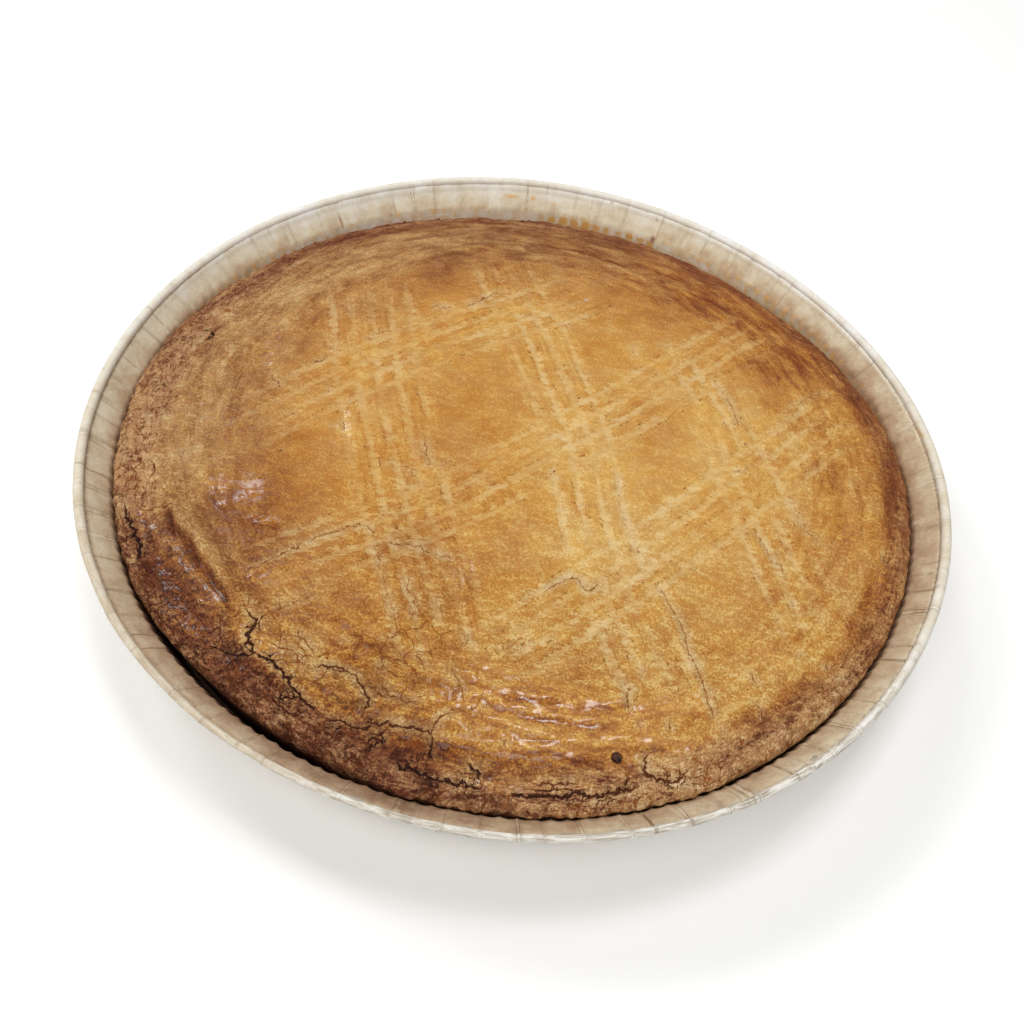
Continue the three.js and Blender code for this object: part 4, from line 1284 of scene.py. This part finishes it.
def case_survey(piece):
    """Where each point of the paper lies: round the case, down from the slit, in or out of a flute."""
    places = places_of(piece)
    turn = np.arctan2(places[:, 1], places[:, 0]) % TURN
    here = SimpleNamespace(places=places, degrees=np.degrees(turn), sine=np.sin(turn))
    here.down, here.rolled = read(piece, "down"), read(piece, "rolled")
    here.toast, here.seam = read(piece, "toast"), read(piece, "seam")
    here.on_brim, here.on_roll, here.at_foot, here.slit_open = by_direction(PAPER_TOAST, turn)
    (here.frayed,) = by_direction(FRAYED, turn)
    here.fold = np.abs(np.sin(turn * FLUTES / 2))
    here.inside = smooth(-2, 0, here.down) * (1 - here.rolled)
    here.far = smooth(0.1, 0.6, here.sine)
    here.notch = smooth(0.4, 0.5, here.seam)
    here.ring = np.column_stack([np.cos(turn) * STAIN_RADIUS, here.sine * STAIN_RADIUS, 2.5 * here.down])
    here.tongues = smooth(4.2, 7.4, here.down + 2.2 * lumps(here.ring / (1, 1, 2.5), 5.0, 72))
    here.tongues = here.tongues * smooth(-0.4, 0.3, here.sine)
    return here


def buttering(here):
    """How much butter has soaked into each place."""
    amber = stained(here, STAINS["amber"]) + stained(here, STAINS["soaked"]) * smooth(0.25, 0.9, here.fold)
    amber = amber + stained(here, STAINS["seeped"]) * smooth(0.9, 0.2, here.fold)
    amber = amber * (1 + 0.9 * lumps(here.ring, 2.6, 71))
    amber = amber + 0.22 * here.tongues * here.inside * smooth(-0.2, 0.4, lumps(here.ring, 3.2, 76))
    far_foot = smooth(6.0, 9.0, here.down + 1.2 * lumps(here.ring, 3.0, 77))
    return amber + 0.22 * here.far * here.inside * far_foot


def toasting(here):
    """How toasted each place is, 0 white to 1 brown, with painted light at the far foot and slit and painted
    shade behind the slump and in the outer folds.
    """
    down = here.down
    brim = 0.2 * (0.5 - 0.5 * here.sine) + here.on_brim + here.at_foot * smooth(4.0, 7.0, down)
    toast = here.toast + stained(here, STAINS["toast"]) + here.rolled * here.on_roll
    toast = toast + here.inside * (brim + 0.12 * here.tongues)
    # Painted shade on the paper's foot behind the slump.
    toast = toast + 0.6 * within(here.degrees, SLUMP_SHADE) * smooth(7.2, 8.2, down) * (1 - here.rolled)
    # On the far side the mid-brim is more toasted, while the foot and the slit's notch are made paler:
    # painted light where shade falls.
    far_wall = 0.2 * smooth(3.0, 8.0, down) - 0.45 * smooth(6.5, 9.0, down)
    toast = toast + here.far * (here.inside * far_wall - 0.25 * here.notch)
    # Darker in the folds between flutes on the outer wall: painted shade.
    return toast + 0.16 * smooth(0.6, 0.0, here.fold) * smooth(-6.0, -8.0, down)


def fluffed(here):
    """The places of the paper once its far slit stands up and its near roll is torn and fluffy, with a tuft
    here and there."""
    places = here.places
    fluff = layered(places, (0.2, 3.0, 73), (0.14, 1.3, 74))
    for heading, size in TUFTS:
        fluff += size * bell(here.degrees - heading, 0.45) * (0.4 + lumps(places, 0.9, 75))
    outward = places * (1, 1, 0) / np.maximum(np.hypot(places[:, 0], places[:, 1]), 1)[:, None]
    places[:, 2] += 0.75 * here.notch * smooth(0.75, 0.15, here.slit_open) * smooth(0, 0.5, here.sine)
    return places + (0.35 * outward + (0, 0, 0.5)) * (fluff * here.frayed * here.rolled)[:, None]


def make_paper_case(material):
    rows = case_section()
    points = np.stack([rows[:, 0], np.zeros(len(rows)), rows[:, 1]], axis=1)
    piece = plain_mesh("fluted_paper_case", points, [])
    for column, name in enumerate(("flute", "pressed", "toast", "seam", "rolled")):
        give(piece, name, rows[:, 2 + column])
    slit = int(np.argmax(rows[:, 5]))
    walked = walked_along(rows[:, :2])
    give(piece, "down", walked[slit] - walked)
    grown(piece, paper_case_tree(), steps_around=CASE_STEPS, flutes=FLUTES, flute_depth=FLUTE_DEPTH * MM,
          panels=BRIM_PANELS, crease_depth=CREASE_DEPTH * MM, near_roll=NEAR_ROLL, paper=material)

    here = case_survey(piece)
    give(piece, "toast", np.clip(toasting(here), 0, 1))
    # The slit's share of painted shade, by how open it stands.
    give(piece, "seam", here.seam * here.slit_open)
    give(piece, "amber", buttering(here))
    give(piece, "burnt", np.clip(stained(here, STAINS["burnt"]), 0, 1))
    give(piece, "frayed", here.frayed)
    piece.data.vertices.foreach_set("co", (fluffed(here) * MM).ravel())

    shell = bmesh.new()
    shell.from_mesh(piece.data)
    bmesh.ops.recalc_face_normals(shell, faces=shell.faces)
    shell.to_mesh(piece.data)
    shell.free()
    return piece


# ---- Crumbs and beads on the crust ----

CRUMBS_PER_SQUARE_METRE = 30000.0   # where the crust is roughest


def crumb_tree():
    """Loose crumbs strewn where the edge is roughest."""
    tree, given = new_tree("Loose crumbs", {
        "Density": "Float", "Smallest": "Float", "Largest": "Float", "Seed": "Int", "Crumb": "Material"})
    rough = add(tree, NAMED, {"Name": "rough"}).outputs["Attribute"]
    normal = add(tree, "GeometryNodeInputNormal")
    facing = add(tree, SPLIT, normal).outputs["Z"]
    density = chain(tree, TIMES, given["Density"], rough, add(tree, RANGE, facing, 0.35, 0.8))
    spots = add(tree, "GeometryNodeDistributePointsOnFaces", {
        "Mesh": given["Geometry"], "Density": density, "Seed": given["Seed"]}, distribute_method="RANDOM")
    ball = add(tree, "GeometryNodeMeshIcoSphere", {"Radius": 1.0, "Subdivisions": 2})
    dents = add(tree, NOISE, {"Vector": add(tree, "GeometryNodeInputPosition"), "Scale": 1.3, "Detail": 2.0})
    dents = add(tree, RANGE, dents, 0.3, 0.7, -0.35, 0.35)
    crumb = add(tree, "GeometryNodeSetPosition", {
        "Geometry": ball, "Offset": add(tree, VECTOR, normal, dents, operation="SCALE")})
    size = add(tree, "FunctionNodeRandomValue", {
        "Min": given["Smallest"], "Max": given["Largest"], "Seed": 5}, data_type="FLOAT")
    twist = add(tree, "FunctionNodeRandomValue", {
        "Max": (TURN, TURN, TURN), "Seed": 7}, data_type="FLOAT_VECTOR")
    placed = add(tree, "GeometryNodeInstanceOnPoints", {
        "Points": spots.outputs["Points"], "Instance": crumb, "Rotation": twist, "Scale": size})
    finished(tree, placed, given["Crumb"])
    return tree


def make_crumbs(crust, material):
    piece = bpy.data.objects.new("loose_crumbs", crust.data.copy())
    bpy.context.scene.collection.objects.link(piece)
    return grown(piece, crumb_tree(), density=CRUMBS_PER_SQUARE_METRE, smallest=0.3 * MM, largest=0.6 * MM,
                 seed=4, crumb=material)


def make_bead(name, x, y, width, height, material):
    """A small hard bead baked onto the crust at x, y."""
    turn, radius = math.atan2(y, x), math.hypot(x, y)
    level = float(crust_shape(np.array([turn]), np.array([radius]))[0][0])
    blob = bmesh.new()
    bmesh.ops.create_icosphere(blob, subdivisions=3, radius=1.0)
    unit = np.array([vertex.co[:] for vertex in blob.verts])
    bumps = 1 + layered(unit, (0.35, 0.9, 51), (0.16, 0.4, 52))
    for vertex, bump in zip(blob.verts, bumps):
        across, up = vertex.co.xy * width / 2 * bump, vertex.co.z * height * bump
        vertex.co = Vector((x + across.x, y + across.y, level + up)) * MM
    mesh = bpy.data.meshes.new(name)
    blob.to_mesh(mesh)
    blob.free()
    mesh.polygons.foreach_set("use_smooth", [True] * len(mesh.polygons))
    mesh.materials.append(material)
    piece = bpy.data.objects.new(name, mesh)
    bpy.context.scene.collection.objects.link(piece)
    return piece


def bead_material(name, colour, roughness):
    """Sugar, loose or boiled up and burnt: the colour given, browner where it is thin."""
    material, tree = new_material(name)
    place = add(tree, "ShaderNodeTexCoord").outputs["Object"]
    mottle = add(tree, NOISE, {"Vector": place, "Scale": 1 / (0.7 * MM), "Detail": 2.0})
    browned = add(tree, RANGE, mottle, 0.42, 0.66, 0.0, 0.8)
    shade = add(tree, MIX, browned, to_linear(colour), to_linear("#6E3B22"))
    shell = add(tree, "ShaderNodeBsdfPrincipled", {"Base Color": shade, "Roughness": roughness, "IOR": 1.35})
    add(tree, "ShaderNodeOutputMaterial", {"Surface": shell})
    return material


# ---- Build ----

crust_finish = baked_crust_material()
paper_finish = case_paper_material()

crust = make_crust(crust_finish)
crumbs = make_crumbs(crust, crust_finish)
burnt_bead = make_bead("burnt_sugar_bead", 31, -90.5, 2.5, 0.8, bead_material("burnt_sugar", "#150A08", 0.6))
sugar_grain = make_bead("sugar_grain", 12, 59, 1.0, 0.5, bead_material("white_sugar", "#FBF5EE", 0.5))
case = make_paper_case(paper_finish)

for piece, slot in ((crust, "baked_crust"), (crumbs, "baked_crust"), (burnt_bead, "baked_crust"),
                    (sugar_grain, "baked_crust"), (case, "case_paper")):
    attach(piece, "root")
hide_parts("cake")
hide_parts("paper_case")

# ---- Studio ----

FLOOR_HALF = 3000
FLOOR_LEVEL = -0.4                # just under the case, so that the two don't touch
ROOM_LIGHT = 0.37

corners = [(x * FLOOR_HALF, y * FLOOR_HALF, FLOOR_LEVEL) for x, y in ((-1, -1), (1, -1), (1, 1), (-1, 1))]
floor = plain_mesh("studio_floor", corners, [(0, 1, 2, 3)])
floor.data.materials.append(floor_material())

world = bpy.data.worlds.new("white_room")
world.use_nodes = True
background = world.node_tree.nodes["Background"]
background.inputs["Color"].default_value = to_linear("#FFFFFF")
background.inputs["Strength"].default_value = ROOM_LIGHT
bpy.context.scene.world = world
bpy.context.scene.view_settings.view_transform = "Standard"


def softbox(name, place, size, power):
    """A square soft light at a place in metres, turned to the cake."""
    light = bpy.data.lights.new(name, "AREA")
    light.size = size
    light.energy = power
    lamp = bpy.data.objects.new(name, light)
    lamp.location = place
    lamp.rotation_euler = (-Vector(place)).to_track_quat("-Z", "Y").to_euler()
    bpy.context.scene.collection.objects.link(lamp)


softbox("front_key", (-0.25, -0.95, 1.35), 1.0, 10.5)
softbox("far_left", (-0.45, 0.75, 1.15), 0.32, 2.7)
softbox("left", (-0.85, 0.45, 1.1), 0.3, 3.6)
softbox("overhead", (0.1, 0.15, 1.5), 0.42, 6.0)

# ---- Camera: looks down at 50 degrees, rolled 9 degrees ----

CAMERA_PLACE = (0.0, -0.22837, 0.26892)         # metres
LOOK_DOWN = math.radians(49.83)
ROLL = math.radians(8.82)
LENS, SENSOR = 43.62, 36
level_right = Vector((1, 0, 0))
level_up = Vector((0, math.sin(LOOK_DOWN), math.cos(LOOK_DOWN)))
right = math.cos(ROLL) * level_right + math.sin(ROLL) * level_up
up = math.cos(ROLL) * level_up - math.sin(ROLL) * level_right
lens = bpy.data.cameras.new("product_camera")
lens.sensor_width = SENSOR
lens.lens = LENS
camera = bpy.data.objects.new("product_camera", lens)
facing = Matrix((right, up, right.cross(up))).transposed().to_4x4()
camera.matrix_world = Matrix.Translation(CAMERA_PLACE) @ facing
bpy.context.scene.collection.objects.link(camera)
bpy.context.scene.camera = camera
